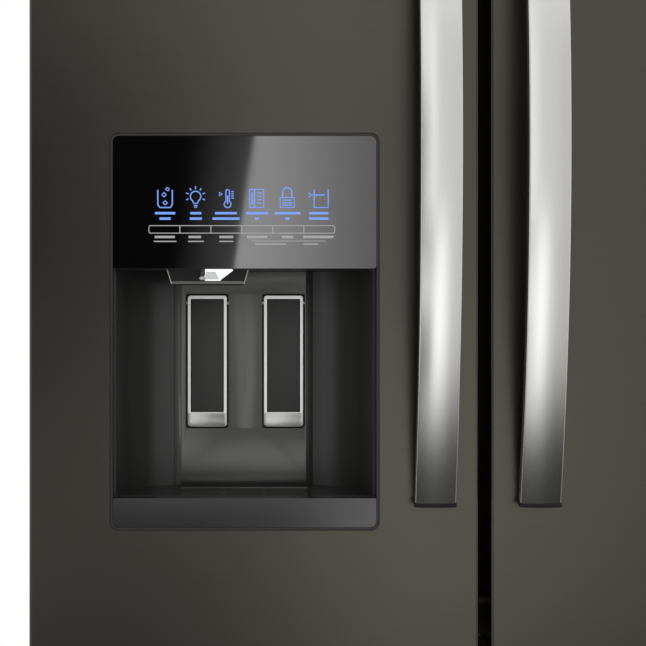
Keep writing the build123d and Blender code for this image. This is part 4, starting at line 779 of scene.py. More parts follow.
LAMPS = (
    Lamp("key_lamp", (1.5, -2.8, 1.5), (0.0, -0.2, 1.0), 2.2, 38.0),
    Lamp("fill_lamp", (-1.8, -2.6, 1.0), (0.0, -0.2, 1.0), 2.0, 26.0),
    Lamp("top_lamp", (0.6, -1.2, 3.4), (0.0, 0.0, 1.0), 2.0, 16.0),
    Lamp("rear_lamp", (0.8, 2.6, 2.6), (0.0, 0.2, 1.0), 2.4, 30.0),
)
WHITE = (1, 1, 1, 1)


@dataclass
class Studio:
    """A pale floor that fades to white, reflector cards, soft lamps, a white surround and the camera."""

    floor_radius: float = 5.0
    floor_z: float = -0.0005
    fade_start: float = 1.1
    fade_end: float = 2.7
    eye: Point3 = (-0.255, -1.744, 1.069)
    lens: float = 75.8
    shift: Point = (0.147, -0.017)
    wall_y: float = -3.0
    wall_half: float = 1.8
    wall_top: float = 2.4
    cloth_y: float = -1.0
    cloth_z: float = 0.004
    lean: float = -0.156
    ambient: float = 0.5

    def build(self) -> None:
        """Sets up floor, reflectors, lamps, world and camera."""
        self.floor()
        self.reflectors()
        for lamp in LAMPS:
            self.light(lamp)
        self.world()
        self.camera()

    def floor(self) -> None:
        """Makes the round pale floor, which turns to plain white away from the refrigerator."""
        pick()
        bpy.ops.mesh.primitive_circle_add(vertices=96, radius=self.floor_radius, fill_type="NGON",
                                          location=(0, 0, self.floor_z))
        floor = bpy.context.object
        floor.name = "studio_floor"
        paint = Moulded("studio_floor_paint", "E4E4E2", 0.8, tone=0.01, relief=0.0).build()
        tree = paint.node_tree
        place = add(tree, "ShaderNodeTexCoord")
        reach = add(tree, "ShaderNodeVectorMath", {"operation": "LENGTH"}, {0: place.outputs["Object"]})
        fade = add(tree, "ShaderNodeMapRange",
                   {"interpolation_type": "SMOOTHSTEP", "From Min": self.fade_start, "From Max": self.fade_end},
                   {"Value": reach.outputs["Value"]})
        path = add(tree, "ShaderNodeLightPath")
        seen = add(tree, "ShaderNodeMath", {"operation": "MULTIPLY"},
                   {0: path.outputs["Is Camera Ray"], 1: fade.outputs["Result"]})
        white = add(tree, "ShaderNodeEmission", {"Color": WHITE})
        mix = add(tree, "ShaderNodeMixShader", {},
                  {0: seen.outputs[0], 1: tree.nodes["Principled BSDF"].outputs["BSDF"], 2: white.outputs["Emission"]})
        tree.links.new(mix.outputs["Shader"], tree.nodes["Material Output"].inputs["Surface"])
        floor.data.materials.append(paint)

    def cloth(self, name: str, ramps: Sequence[Ramp], steps: Sequence[Step]) -> bpy.types.Material:
        """Makes a cloth that glows with its ramps' light, worked out in steps.

        Args:
            name: the material's name.
            ramps: the changes of light along the axes.
            steps: how the ramps are put together; the last one is named "light".

        Returns:
            The material.
        """
        material = bpy.data.materials.new(name)
        material.use_nodes = True
        tree = material.node_tree
        tree.nodes.clear()
        place = add(tree, "ShaderNodeTexCoord")
        split = add(tree, "ShaderNodeSeparateXYZ", {}, {0: place.outputs["Object"]})
        axes = {axis: split.outputs[axis] for axis in "XYZ"}
        axes["lean"] = add(tree, "ShaderNodeMath", {"operation": "MULTIPLY_ADD", 1: self.lean},
                           {0: axes["Z"], 2: axes["X"]}).outputs[0]
        lights = {}
        for ramp in ramps:
            lights[ramp.name] = add(
                tree, "ShaderNodeMapRange",
                {"interpolation_type": "SMOOTHSTEP", "From Min": ramp.start, "From Max": ramp.end,
                 "To Min": ramp.first, "To Max": ramp.last}, {"Value": axes[ramp.axis]}).outputs["Result"]
        for step in steps:
            pair = (lights[step.first], lights[step.second])
            if step.by in lights:
                node = add(tree, "ShaderNodeMix", {"data_type": "FLOAT"}, {0: lights[step.by], 2: pair[0], 3: pair[1]})
            else:
                node = add(tree, "ShaderNodeMath", {"operation": step.by}, {0: pair[0], 1: pair[1]})
            lights[step.name] = node.outputs[0]
        glow = add(tree, "ShaderNodeEmission", {"Color": WHITE}, {"Strength": lights["light"]})
        add(tree, "ShaderNodeOutputMaterial", {}, {"Surface": glow.outputs["Emission"]})
        return material

    def card(self, name: str, centre: Point3, size: Point, turn: float, material: bpy.types.Material) -> None:
        """Makes a flat card that shows only in reflections.

        Args:
            name: its name.
            centre: its middle, in metres.
            size: its width and its height, in metres.
            turn: how far it is tipped up from the floor, in degrees.
            material: what it is coloured with.
        """
        pick()
        bpy.ops.mesh.primitive_plane_add(size=1, location=centre, rotation=(math.radians(turn), 0, 0))
        card = bpy.context.object
        card.scale = (size[0], size[1], 1)
        bpy.ops.object.transform_apply(location=True, rotation=True, scale=True)
        card.name = name
        card.data.materials.append(material)
        card.visible_camera = False
        card.visible_shadow = False
        card.visible_diffuse = False
        card.visible_transmission = False

    def reflectors(self) -> None:
        """Makes a wall of soft light in front, with a slanted edge, and the dark floor before it."""
        self.card("studio_front_wall", (0, self.wall_y, self.wall_top / 2), (2 * self.wall_half, self.wall_top), 90,
                  self.cloth("soft_box_cloth", WALL_RAMPS, WALL_STEPS))
        self.card("studio_floor_cloth", (0, (self.wall_y + self.cloth_y) / 2, self.cloth_z),
                  (2 * self.wall_half, self.cloth_y - self.wall_y), 0,
                  self.cloth("dark_floor_cloth", CLOTH_RAMPS, CLOTH_STEPS))

    def light(self, lamp: Lamp) -> None:
        """Hangs a lamp, which isn't seen in reflections.

        Args:
            lamp: its place, aim, size and power.
        """
        data = bpy.data.lights.new(lamp.name, "AREA")
        data.shape = "SQUARE"
        data.size = lamp.size
        data.energy = lamp.power
        holder = bpy.data.objects.new(lamp.name, data)
        holder.location = lamp.place
        holder.rotation_euler = (Vector(lamp.aim) - Vector(lamp.place)).to_track_quat("-Z", "Y").to_euler()
        holder.visible_glossy = False
        bpy.context.scene.collection.objects.link(holder)

    def world(self) -> None:
        """Makes a white surround: plain white where it is seen, softer where it lights."""
        world = bpy.data.worlds.new("studio_world")
        bpy.context.scene.world = world
        world.use_nodes = True
        tree = world.node_tree
        tree.nodes.clear()
        rays = add(tree, "ShaderNodeLightPath").outputs
        seen = add(tree, "ShaderNodeMath", {"operation": "MAXIMUM"},
                   {0: rays["Is Camera Ray"], 1: rays["Is Glossy Ray"]})
        seen = add(tree, "ShaderNodeMath", {"operation": "MAXIMUM"},
                   {0: seen.outputs[0], 1: rays["Is Transmission Ray"]})
        ambient = add(tree, "ShaderNodeBackground", {"Color": WHITE, "Strength": self.ambient})
        white = add(tree, "ShaderNodeBackground", {"Color": WHITE, "Strength": 1.0})
        mix = add(tree, "ShaderNodeMixShader", {}, {0: seen.outputs[0], 1: ambient.outputs[0], 2: white.outputs[0]})
        add(tree, "ShaderNodeOutputWorld", {}, {"Surface": mix.outputs[0]})
        bpy.context.scene.view_settings.view_transform = "Standard"

    def camera(self) -> None:
        """Places a long lens that looks straight at the dispenser."""
        data = bpy.data.cameras.new("camera")
        data.lens = self.lens
        data.shift_x, data.shift_y = self.shift
        camera = bpy.data.objects.new("camera", data)
        camera.location = self.eye
        camera.rotation_euler = (math.radians(90), 0, 0)
        bpy.context.scene.collection.objects.link(camera)
        bpy.context.scene.camera = camera


# ------------------------------------------------------------------ refrigerator
NODE_FINISHES: dict[Finish, tuple[str, ...]] = {
    Finish.BLACK_STAINLESS: ("left_door_skin", "right_door_skin", "freezer_drawer_skin"),
    Finish.SATIN_STAINLESS: ("left_door_handle", "right_door_handle"),
    Finish.SATIN_STAINLESS_ACROSS: ("freezer_handle",),
    Finish.PAINTED_SIDE: ("outer_wrap",),
    Finish.ZINC: ("back_panel", "base_frame", "door_hinges", "freezer_slide_outer", "freezer_slide_middle",
                  "freezer_slide_inner", "shelf_ladders"),
    Finish.RAIL: ("centre_rail",),
    Finish.BLACK_ABS: ("toe_grille", "hinge_covers", "left_door_end_caps", "right_door_end_caps", "mullion_bar",
                       "dispenser_bezel", "levelling_legs"),
    Finish.WHITE_LINER: ("fresh_food_liner", "freezer_liner", "left_door_liner", "right_door_liner",
                         "freezer_drawer_liner", "crisper_rack", "ice_compartment", "air_tower"),
    Finish.CLEAR_BIN: ("left_door_bins", "right_door_bins", "crisper_left", "crisper_right", "ice_bucket"),
    Finish.FREEZER_BASKET: ("freezer_basket_lower", "freezer_basket_upper"),
    Finish.SHELF_GLASS: ("glass_shelves",),
    Finish.BLACK_GLASS: ("control_glass",),
    Finish.NICHE: ("recess_housing", "drip_grille"),
    Finish.FUNNEL: ("ice_chute", "chute_flap"),
    Finish.TRAY: ("drip_tray",),
    Finish.PADDLE_FRAME: ("ice_paddle", "water_paddle"),
    Finish.SEAL: ("left_door_gasket", "right_door_gasket", "freezer_drawer_gasket"),
    Finish.FOAM: ("cabinet_foam", "left_door_foam", "right_door_foam", "freezer_drawer_foam"),
    Finish.NYLON: ("front_rollers", "rear_rollers", "condenser_fan"),
    Finish.BLACK_ENAMEL: ("compressor",),
    Finish.ALUMINIUM: ("condenser_unit",),
    Finish.REAR_BOARD: ("machine_cover",),
    Finish.VALVE: ("rear_fittings",),
}


@dataclass(frozen=True)
class BarRow:
    """Plain bars in the place of printed words: their drop and height, and each one's (x, width)."""

    drop: float
    height: float
    bars: tuple[Point, ...]


BLUE_ROWS = (
    BarRow(76.6, 2.4, ((-79, 20), (-48.4, 11), (-18.5, 22), (12.4, 22), (42.5, 25.5), (73.5, 19))),
    BarRow(82.0, 2.4, ((-79, 11), (-48.4, 12), (-18.5, 27), (12.4, 4), (42.5, 4), (73.5, 19))),
)
WHITE_ROWS = (
    BarRow(100.2, 2.4, ((-79.3, 20), (-49.5, 12.5), (-18.2, 13.8), (12.5, 20), (42.5, 11.4), (73.2, 30))),
    BarRow(104.6, 1.2, ((-79, 22.5), (-48.3, 15.8), (-18.2, 13.8))),
    BarRow(104.2, 0.7, ((43.5, 73.5),)),
    BarRow(107.2, 1.2, ((25.5, 31), (65.5, 14.5))),
)


@dataclass
class ControlPanel:
    """The black glass's printed and lit legends: pictograms, plain bars and a key row."""

    column_pitch: float = 30.3
    first_column: float = -79.0
    icon_drop: float = 61.5
    line: float = 1.3
    key_line: float = 1.0
    key_sides: Point = (-95.0, 89.4)
    key_drops: Point = (89.0, 96.4)
    key_corner: float = 1.6
    keys: int = 6
    thick: float = 0.12
    body: str = "left_door"

    def __post_init__(self) -> None:
        """Takes the panel's place from the glass."""
        low, high = low_high("control_glass")
        self.centre_x = (low[0] + high[0]) / 2
        self.top = high[2]
        self.face = low[1] - self.thick / 2

    def pictograms(self) -> list[list[tuple[list[Point], bool]]]:
        """Draws the generic pictograms.

        Returns:
            For each pictogram its paths, in mm from its middle, and whether each closes.
        """
        tumbler = [([(-7.2, 8), (-7.2, -6.5), (-5.2, -9.5), (5.2, -9.5), (7.2, -6.5), (7.2, 8)], False),
                   ([(-3.2, 3), (-1, 5.5), (1.2, 3.2), (-1, 1)], True),
                   ([(0.5, 8.5), (3, 7), (4.2, 9.2), (1.8, 10.4)], True),
                   ([(-2.2, -4.8), (0.2, -2.8), (2.4, -5), (0.2, -6.8)], True)]
        bulb = [(arc(0, 1.5, 5.2, -60, 240, 16) + [(-2.2, -5.2), (2.2, -5.2)], True),
                ([(-2, -7.4), (2, -7.4)], False), ([(-1.4, -9.2), (1.4, -9.2)], False)]
        for turn in map(math.radians, (-20, 20, 55, 90, 125, 160, 200)):
            bulb.append(([(reach * math.cos(turn), 1.5 + reach * math.sin(turn)) for reach in (7.4, 10.0)], False))
        thermometer = [(arc(1.5, -6.2, 3.4, 118, 422, 14) + arc(1.5, 6.6, 1.8, 0, 180, 6), True),
                       ([(1.5, -6.2), (1.5, 2.5)], False),
                       ([(-6.8, 5.5), (-6.8, 2.1), (-3.8, 3.8)], True)]
        thermometer += [([(5.2, z), (7.6, z)], False) for z in (6.4, 4.2, 2.0, -0.2)]
        cabinet = [([(-7, -9.5), (-7, 8.5), (7, 8.5), (7, -9.5)], True), ([(-2.2, 8.5), (-2.2, -9.5)], False),
                   ([(-4.6, 5.5), (-4.6, -6.5)], False)]
        cabinet += [([(0.6, z), (4.8, z)], False) for z in (5, 1.6, -1.8, -5.2)]
        padlock = [([(-7, -9.5), (-7, 0.5), (7, 0.5), (7, -9.5)], True),
                   ([(-4.6, 0.5)] + arc(0, 5.6, 4.6, 180, 0, 10) + [(4.6, 0.5)], False)]
        padlock += [([(-4.8, z), (4.8, z)], False) for z in (-2.2, -4.8, -7.2)]
        measure = [([(-3.6, 8.5), (-3.6, -9.5), (10.4, -9.5), (10.4, 8.5)], False),
                   ([(-8.6, 4.8), (-8.6, 1.0), (-5.0, 2.9)], True), ([(-3.6, 2.9), (6.8, 2.9)], False)]
        return [tumbler, bulb, thermometer, cabinet, padlock, measure]

    def bars(self, rows: Sequence[BarRow]) -> Solid:
        """Makes rows of plain bars.

        Args:
            rows: the rows.

        Returns:
            The joined mesh object, still to be settled.
        """
        half = self.thick / 2
        bars = []
        for row in rows:
            low, high = self.top - row.drop - row.height / 2, self.top - row.drop + row.height / 2
            for x, width in row.bars:
                left, right = self.centre_x + x - width / 2, self.centre_x + x + width / 2
                bars.append(rounded_bar((left, self.face - half, low), (right, self.face + half, high),
                                        self.thick / 3, 1))
        return joined(bars)

    def key_row(self) -> Solid:
        """Draws the outline of the keys, with its rounded corners and the lines between them.

        Returns:
            The new mesh object, still to be settled.
        """
        left, right = self.key_sides
        high, low = self.key_drops
        bend = self.key_corner
        corners = ((left + bend, -high - bend, 90), (left + bend, -low + bend, 180),
                   (right - bend, -low + bend, 270), (right - bend, -high - bend, 0))
        outline = [point for x, z, start in corners for point in arc(x, z, bend, start, start + 90, 4)]
        edges = [left + (right - left) * i / self.keys for i in range(1, self.keys)]
        dividers = [([(x, -high), (x, -low)], False) for x in edges]
        return legend([(outline, True)] + dividers, (self.centre_x, self.face, self.top), self.key_line, self.thick)

    def build(self) -> None:
        """Makes the legends."""
        for index, paths in enumerate(self.pictograms()):
            x = self.centre_x + self.first_column + index * self.column_pitch
            drawing = legend(paths, (x, self.face, self.top - self.icon_drop), self.line, self.thick)
            settle(drawing, f"panel_pictogram_{index + 1}", Finish.BLUE_LEGEND, self.body)
        settle(self.bars(BLUE_ROWS), "panel_blue_bars", Finish.BLUE_LEGEND, self.body)
        # the white bars and the key row are print, given a painted glow
        settle(self.bars(WHITE_ROWS), "panel_white_bars", Finish.WHITE_LEGEND_PAINTED_GLOW, self.body)
        settle(self.key_row(), "panel_key_row", Finish.WHITE_LEGEND_PAINTED_GLOW, self.body)


@dataclass
class Dispenser:
    """What is fitted in the dispenser's recess, and the dark pads on its two paddles.

    In the recess are the back plate with its edges, the lamp, the water nozzle, the funnel's edges and
    rim, and what shows round the ice chute and the tray's pocket.
    """

    frame_side: float = 3.2
    frame_top: float = 3.7
    lip: float = 15.3
    lip_half: float = 20.3
    lip_reach: float = 1.15
    lip_hollow: float = 1.0
    recess: float = 1.6
    paddle_width: float = 41.8
    pad_margin: float = 1.1
    ring_gap: float = 1.8
    panel_half: float = 66.4
    panel_depth: float = 99.0
    panel_gap: float = 0.5
    floor_step: float = 0.3
    cove: float = 12.0
    sheet: float = 0.5
    tray_depth: float = 69.0
    nozzle: Point = (-41.9, 6.5)
    funnel_offset: float = 37.0
    inlet_height: float = 52.0
    shroud_wall: float = 2.4
    opening_half: float = 133.0
    bezel_depth: float = 14.0
    pocket_half: float = 69.8
    pocket_height: float = 20.5
    body: str = "left_door"

    def __post_init__(self) -> None:
        """Takes the recess's middle, front, roof and foot from the glass and the tray."""
        low, high = low_high("control_glass")
        self.centre = (low[0] + high[0]) / 2
        self.front, self.roof = low[1], low[2]
        self.tray_low, self.tray_top = (corner[2] for corner in low_high("drip_tray"))
        self.foot = self.tray_top + self.floor_step

    def back_plate(self) -> None:
        """Makes the paler plate behind the paddles: it bends out at its foot and has two openings."""
        face, rise = self.front + self.panel_depth, self.roof - self.panel_gap - self.foot
        cove, sheet = self.cove, self.sheet
        inner = arc(-cove - 0.1, cove + 0.1, cove - sheet, 0, -90, 9)
        outer = arc(-cove - 0.1, cove + 0.1, cove - 0.05, -90, 0, 9)
        plate = moulding([(-sheet - 0.1, rise)] + inner + outer + [(-0.15, rise)], (self.centre, face, self.foot),
                         2 * self.panel_half, Axis.X, 0.08)
        for paddle in ("ice_paddle", "water_paddle"):
            low, high = low_high(paddle)
            middle = (low[0] + high[0]) / 2
            half = self.paddle_width / 2 + self.ring_gap
            cutter = rounded_bar((middle - half, face - 6, low[2] - self.ring_gap),
                                 (middle + half, face + 6, high[2] + self.ring_gap), 0.01, 1)
            pick(plate)
            apply_modifier(plate, "BOOLEAN", operation="DIFFERENCE", object=cutter, solver="EXACT")
            bpy.data.objects.remove(cutter)
        settle(plate, "dispenser_back_plate", Finish.NICHE_PANEL, self.body)

    def lip_profile(self) -> list[Point]:
        """Draws a paddle's lip in plan: straight at its back and hollowed in front.

        Returns:
            Its corners, in mm.
        """
        half, reach, steps = self.lip_half, self.lip_reach, 16
        hollow = [(half - 2 * half * i / steps, -reach + self.lip_hollow * math.sin(math.pi * i / steps))
                  for i in range(1, steps)]
        return [(-half, -reach), (-half, 0.3), (half, 0.3), (half, -reach)] + hollow

    def pads(self) -> None:
        """Makes each paddle's dark pad, a near-black backing that paints the fine shadow line round it, and the
        hollowed lip under it.
        """
        for paddle in ("ice_paddle", "water_paddle"):
            low, high = low_high(paddle)
            centre, face = (low[0] + high[0]) / 2, low[1]
            half = self.paddle_width / 2 - self.frame_side - 0.05
            bottom, top = low[2] + self.lip, high[2] - self.frame_top
            back, margin = face + self.recess, self.pad_margin
            # painted shadow: a near-black sheet behind the pad, which shows in the gap round it
            backing = rounded_bar((centre - half, back - 0.5, bottom + 0.05),
                                  (centre + half, back - 0.05, top - 0.05), 0.15, 1)
            settle(backing, f"{paddle}_pad_painted_shadow", Finish.PAD_PAINTED_SHADOW, paddle)
            lip = moulding(self.lip_profile(), (centre, face, low[2] + self.lip / 2), self.lip - 1.4, Axis.Z, 0.25)
            settle(lip, f"{paddle}_lip", Finish.PADDLE_LIP, paddle)
            pad = rounded_bar((centre - half + margin, face + 0.35, bottom + margin),
                              (centre + half - margin, back - 0.3, top - margin), 0.45, 3)
            settle(pad, f"{paddle}_pad", Finish.PADDLE_PAD, paddle)

    def lamp(self) -> None:
        """Makes the lens, which hangs from the roof and narrows downwards, and the prism before it."""
        centre, front, roof = self.centre, self.front, self.roof - 0.4
        lens = rounded_bar((centre - 41.5, front + 9, roof - 11.5), (centre - 11.5, front + 21, roof), 1.2, 3)
        pick(lens)
        for vertex in lens.data.vertices:
            vertex.select = vertex.co.z < 0
        bpy.ops.object.mode_set(mode="EDIT")
        bpy.ops.transform.resize(value=(0.54, 0.8, 1))
        bpy.ops.transform.translate(value=(-5.2 * MM, 0, 0))
        bpy.ops.object.mode_set(mode="OBJECT")
        settle(lens, "dispenser_lamp_lens", Finish.LAMP, self.body)
        prism = moulding([(-7.0, -3.8), (7.2, -3.8), (3.2, 3.9), (-6.2, 3.9)],
                         (centre - 32.2, front + 6.8, roof - 6.6), 4.0, Axis.Y, 1.0)
        settle(prism, "dispenser_lamp_prism", Finish.LAMP_PRISM, self.body)

    def water_nozzle(self) -> None:
        """Makes the nozzle's barrel and its rounded tip, beside the lamp."""
        x, y, roof = self.centre + self.nozzle[0], self.front + self.nozzle[1], self.roof - 0.4
        barrel = turned([(2.6, 0), (2.6, 6.4), (2.1, 6.9)], (x, y, roof), -UP, 24)
        settle(barrel, "water_nozzle", Finish.NICHE, self.body)
        tip = turned([(1.2, 0), (2.9, 0.5), (3.45, 1.6), (3.3, 2.8), (2.4, 3.7), (1.3, 3.9), (1.0, 2.6)],
                     (x, y, roof - 7.2), -UP, 24)
        settle(tip, "water_nozzle_tip", Finish.NOZZLE_TIP, self.body)

    def trims(self) -> None:
        """Makes the bevelled edges beside the back plate, the left one paler to paint its highlight, and the fine bead
        behind the tray, paler to paint a highlight line.
        """
        length = self.roof - self.panel_gap - self.foot
        # painted highlight: the left edge gets the paler edge finish, the right edge the plain recess plastic
        for name, side, finish in (("left", -1, Finish.PANEL_EDGE_PAINTED_HIGHLIGHT), ("right", 1, Finish.NICHE)):
            bevel = [(side * 73.6, 101.0), (side * 66.6, 98.55), (side * 66.6, 98.95), (side * 73.6, 101.4)]
            strip = moulding(bevel, (self.centre, self.front, self.foot + length / 2), length, Axis.Z, 0.1)
            settle(strip, f"back_plate_{name}_edge", finish, self.body)
        # painted highlight: the bead is paler than the recess floor that it stands on
        bead = moulding([(-0.5, -0.3), (0.5, -0.3), (0.4, 0.35), (-0.4, 0.35)],
                        (self.centre, self.front + self.tray_depth + 0.9, self.tray_top + 1.5), 132, Axis.X, 0.1)
        settle(bead, "tray_rear_bead", Finish.PANEL_EDGE_PAINTED_HIGHLIGHT, self.body)

    def funnel(self) -> None:
        """Makes thin pale pipes along the ice funnel's corners, which paint the highlights of its edges, and its rim.
        """
        centre, front = self.centre - self.funnel_offset, self.front
        roof, foot = self.roof - 0.6, low_high("ice_chute")[0][2]
        edges = [pipe([(centre + side * 40.9, front + 22, roof),
                       (centre + side * 38.7, front + 24.2, (roof + foot) / 2),
                       (centre + side * 36.6, front + 26.4, foot + 0.3)], 0.5) for side in (-1, 1)]
        # painted highlight: pale pipes along the funnel's corners
        settle(joined(edges), "funnel_edges", Finish.FUNNEL_EDGE_PAINTED_HIGHLIGHT, self.body)
        rim = moulding([(-0.9, 3.2), (-0.5, 0.2), (0.2, 0.2), (0.2, 3.2)], (centre, front + 26.4, foot), 73.6,
                       Axis.X, 0.15)
        settle(rim, "funnel_rim", Finish.NICHE_PANEL, self.body)

    def inlet(self) -> None:
        """Makes a white shroud round the ice chute, where it leaves the door's liner."""
        low, high = low_high("ice_chute")
        front, back = low_high("left_door_liner")[1][1], high[1] - 1.0
        left, right = low[0] - 0.3, high[0] + 0.3
        foot, roof = high[2] - self.inlet_height - 0.3, high[2] + 0.3
        wall = self.shroud_wall
        sides = [rounded_bar((x0, front, z0), (x1, back, z1), 0.8) for x0, x1, z0, z1 in (
            (left - wall, left, foot - wall, roof + wall), (right, right + wall, foot - wall, roof + wall),
            (left, right, foot - wall, foot), (left, right, roof, roof + wall))]
        settle(joined(sides), "ice_inlet_shroud", Finish.WHITE_LINER, self.body)

    def pocket_flange(self) -> None:
        """Makes the flange that closes the hollow round the tray's pocket, seen when the tray is out."""
        half, foot, roof = self.opening_half - 0.2, self.tray_low - 2.1, self.tray_top - 2.3
        notch, sill = self.pocket_half + 0.3, self.tray_top - self.pocket_height - 0.3
        outline = [(-half, roof), (-half, foot), (half, foot), (half, roof), (notch, roof), (notch, sill),
                   (-notch, sill), (-notch, roof)]
        flange = moulding(outline, (self.centre, self.front + self.bezel_depth + 0.85, 0), 1.5, Axis.Y, 0.2)
        settle(flange, "tray_pocket_flange", Finish.NICHE, self.body)

    def build(self) -> None:
        """Makes the dispenser's pieces."""
        for part in (self.back_plate, self.pads, self.lamp, self.water_nozzle, self.trims, self.funnel, self.inlet,
                     self.pocket_flange):
            part()


@dataclass
class Cabin:
    """What is fitted in the fresh food cabin: shelf trims, lamp, water filter, sliders and sensor."""

    left_levels: tuple[float, ...] = (1400.0, 1196.0)
    right_levels: tuple[float, ...] = (1528.0, 1344.0, 1166.0)
    middle_gap: float = 5.0
    trim_inset: float = 2.5
    roof_drop: float = 31.0
    lamp_place: Point = (60.0, -40.0)
    ribs: int = 9
    rib_pitch: float = 6.0
    filter_place: Point3 = (372.0, -178.0, 1668.0)
    filter_radius: float = 25.0
    filter_length: float = 230.0
    slider_x: float = 200.0
    slider_rise: float = 6.4
    sensor_place: Point = (-60.0, 1604.0)
    body: str = "cabinet"

    def shelf_trims(self) -> None:
        """Makes a moulded profile that grips each glass shelf's front edge."""
        low, high = low_high("glass_shelves")
        middle = (high[0] + self.middle_gap) / 2
        length = high[0] - self.middle_gap - 2 * self.trim_inset
        grip = [(8, 2), (-2.5, 2), (-4, 0.5), (-4, -6.5), (-2.5, -8), (8, -8), (8, -4.05), (-0.05, -4.05),
                (-0.05, 0.05), (8, 0.05)]
        start = self.left_levels[0]
        first = moulding(grip, (-middle, low[1], start), length, Axis.X, 0.4)
        steps = [(0, 0, level - start) for level in self.left_levels[1:]]
        steps += [(2 * middle, 0, level - start) for level in self.right_levels]
        settle(repeated(first, steps), "shelf_front_trims", Finish.TRIM, self.body)

    def lamp(self) -> None:
        """Makes the lamp in the cabin's roof: a white frame round a ribbed lens."""
        roof = low_high("fresh_food_liner")[1][2] - self.roof_drop
        x, y = self.lamp_place
        surround = moulding([(-34, 0), (34, 0), (31, -6), (-31, -6)], (x, y, roof), 150, Axis.X, 1.2)
        settle(surround, "cabin_lamp_frame", Finish.PURE_WHITE, self.body)
        rib = moulding([(-3, 0), (3, 0), (1.8, -1.6), (-1.8, -1.6)], (x, y - 24, roof - 5.9), 136, Axis.X, 0.4)
        lens = repeated(rib, [(0, self.rib_pitch * i, 0) for i in range(1, self.ribs)])
        settle(lens, "cabin_lamp_lens", Finish.CABIN_LAMP, self.body)

    def water_filter(self) -> None:
        """Makes the water filter, which lies along the roof in the right corner, and its ribbed cap."""
        (x, y, z), radius, length = self.filter_place, self.filter_radius, self.filter_length
        shell = turned([(radius - 1, 12), (radius, 16), (radius, length - 20), (radius - 6, length),
                        (radius - 18, length)], (x, y, z), REARWARD, 40)
        settle(shell, "water_filter_housing", Finish.PURE_WHITE, self.body)
        cap = turned([(radius - 6, -7), (radius - 1.5, -5), (radius, -2), (radius, 11), (radius - 2, 12)],
                     (x, y, z), REARWARD, 40)
        grip = moulding([(-3.0, -18), (3.0, -18), (3.0, 18), (-3.0, 18)], (x, y - 9.5, z), 6, Axis.Y, 1.4)
        settle(joined([cap, grip]), "water_filter_cap", Finish.GREY_PLASTIC, self.body)

    def sliders(self) -> None:
        """Makes a humidity slider over each crisper: a thin dark plate that paints the shade of its slot, and a ribbed
        knob.
        """
        low, high = low_high("crisper_rack")
        level = (low_high("crisper_left")[1][2] + high[2]) / 2 + self.slider_rise
        for name, x in (("left", -self.slider_x), ("right", self.slider_x)):
            # painted shade: a thin dark plate in the place of the slot's shaded gap
            slot = moulding([(-34, -2.2), (34, -2.2), (34, 2.2), (-34, 2.2)], (x, low[1] - 0.3, level), 0.8,
                            Axis.Y, 0.3)
            settle(slot, f"humidity_slot_{name}", Finish.SLOT_PAINTED_SHADE, self.body)
            ridge = moulding([(-0.8, -3.6), (0.8, -3.6), (0.5, 3.6), (-0.5, 3.6)], (x - 12, low[1] - 2.0, level),
                             3.0, Axis.Y, 0.3)
            settle(repeated(ridge, [(2.4 * i, 0, 0) for i in range(1, 6)]), f"humidity_knob_{name}",
                   Finish.GREY_PLASTIC, self.body)

    def sensor(self) -> None:
        """Makes the temperature sensor's domed cover on the right wall."""
        wall = low_high("glass_shelves")[1][0] + 5
        cover = turned([(17, 0), (17, 2), (15, 5), (10, 7.5), (4, 8.4), (1, 8.5)], (wall,) + self.sensor_place,
                       -RIGHT, 36)
        settle(cover, "sensor_cover", Finish.PURE_WHITE, self.body)

    def build(self) -> None:
        """Makes the cabin's fittings."""
        for part in (self.shelf_trims, self.lamp, self.water_filter, self.sliders, self.sensor):
            part()


@dataclass
class Storage:
    """The trims and pulls of the door bins, the ice bucket and the upper freezer basket."""

    trim_height: float = 12.0
    trim_thickness: float = 1.6
    left_bins: tuple[Point, ...] = ((1238.0, 100.0), (1398.0, 100.0))
    right_bins: tuple[Point, ...] = ((934.0, 70.0), (1142.0, 100.0), (1358.0, 100.0), (1574.0, 100.0))

    def bin_trims(self) -> None:
        """Makes a satin band along the guard of each door bin, whose rim and depth are given."""
        drop, thick = self.trim_height, self.trim_thickness
        band = [(0, -drop - 3), (thick, -drop - 2), (thick, -4), (0, -3)]
        for body, bins in (("left_door", self.left_bins), ("right_door", self.right_bins)):
            low, high = low_high(f"{body}_bins")
            middle, width = (low[0] + high[0]) / 2, high[0] - low[0] - 56
            rim, depth = bins[0]
            first = moulding(band, (middle, low[1] + depth, rim), width, Axis.X, 0.4)
            steps = [(0, other_depth - depth, other_rim - rim) for other_rim, other_depth in bins[1:]]
            settle(repeated(first, steps), f"{body}_bin_trims", Finish.TRIM, body)

    def bucket_pull(self) -> None:
        """Makes the ice bucket's moulded finger pull."""
        low, high = low_high("ice_bucket")
        pull = moulding([(0, 9), (-2.6, 7), (-3.6, 0), (-2.6, -7), (0, -9)],
                        ((low[0] + high[0]) / 2, low[1], low[2] + 62), 96, Axis.X, 0.8)
        settle(pull, "ice_bucket_pull", Finish.GREY_PLASTIC, "ice_bucket")

    def basket_grip(self) -> None:
        """Makes the upper freezer basket's front grip."""
        low, high = low_high("freezer_basket_upper")
        grip = moulding([(0.6, 0), (-7, -1), (-8.5, -5), (-8.5, -22), (-6.5, -22), (-5.5, -6), (0.6, -5)],
                        (0, low[1], high[2] - 2), 230, Axis.X, 0.6)
        settle(grip, "upper_basket_grip", Finish.GREY_PLASTIC, "freezer_basket_upper")

    def build(self) -> None:
        """Makes the storage trims."""
        self.bin_trims()
        self.bucket_pull()
        self.basket_grip()


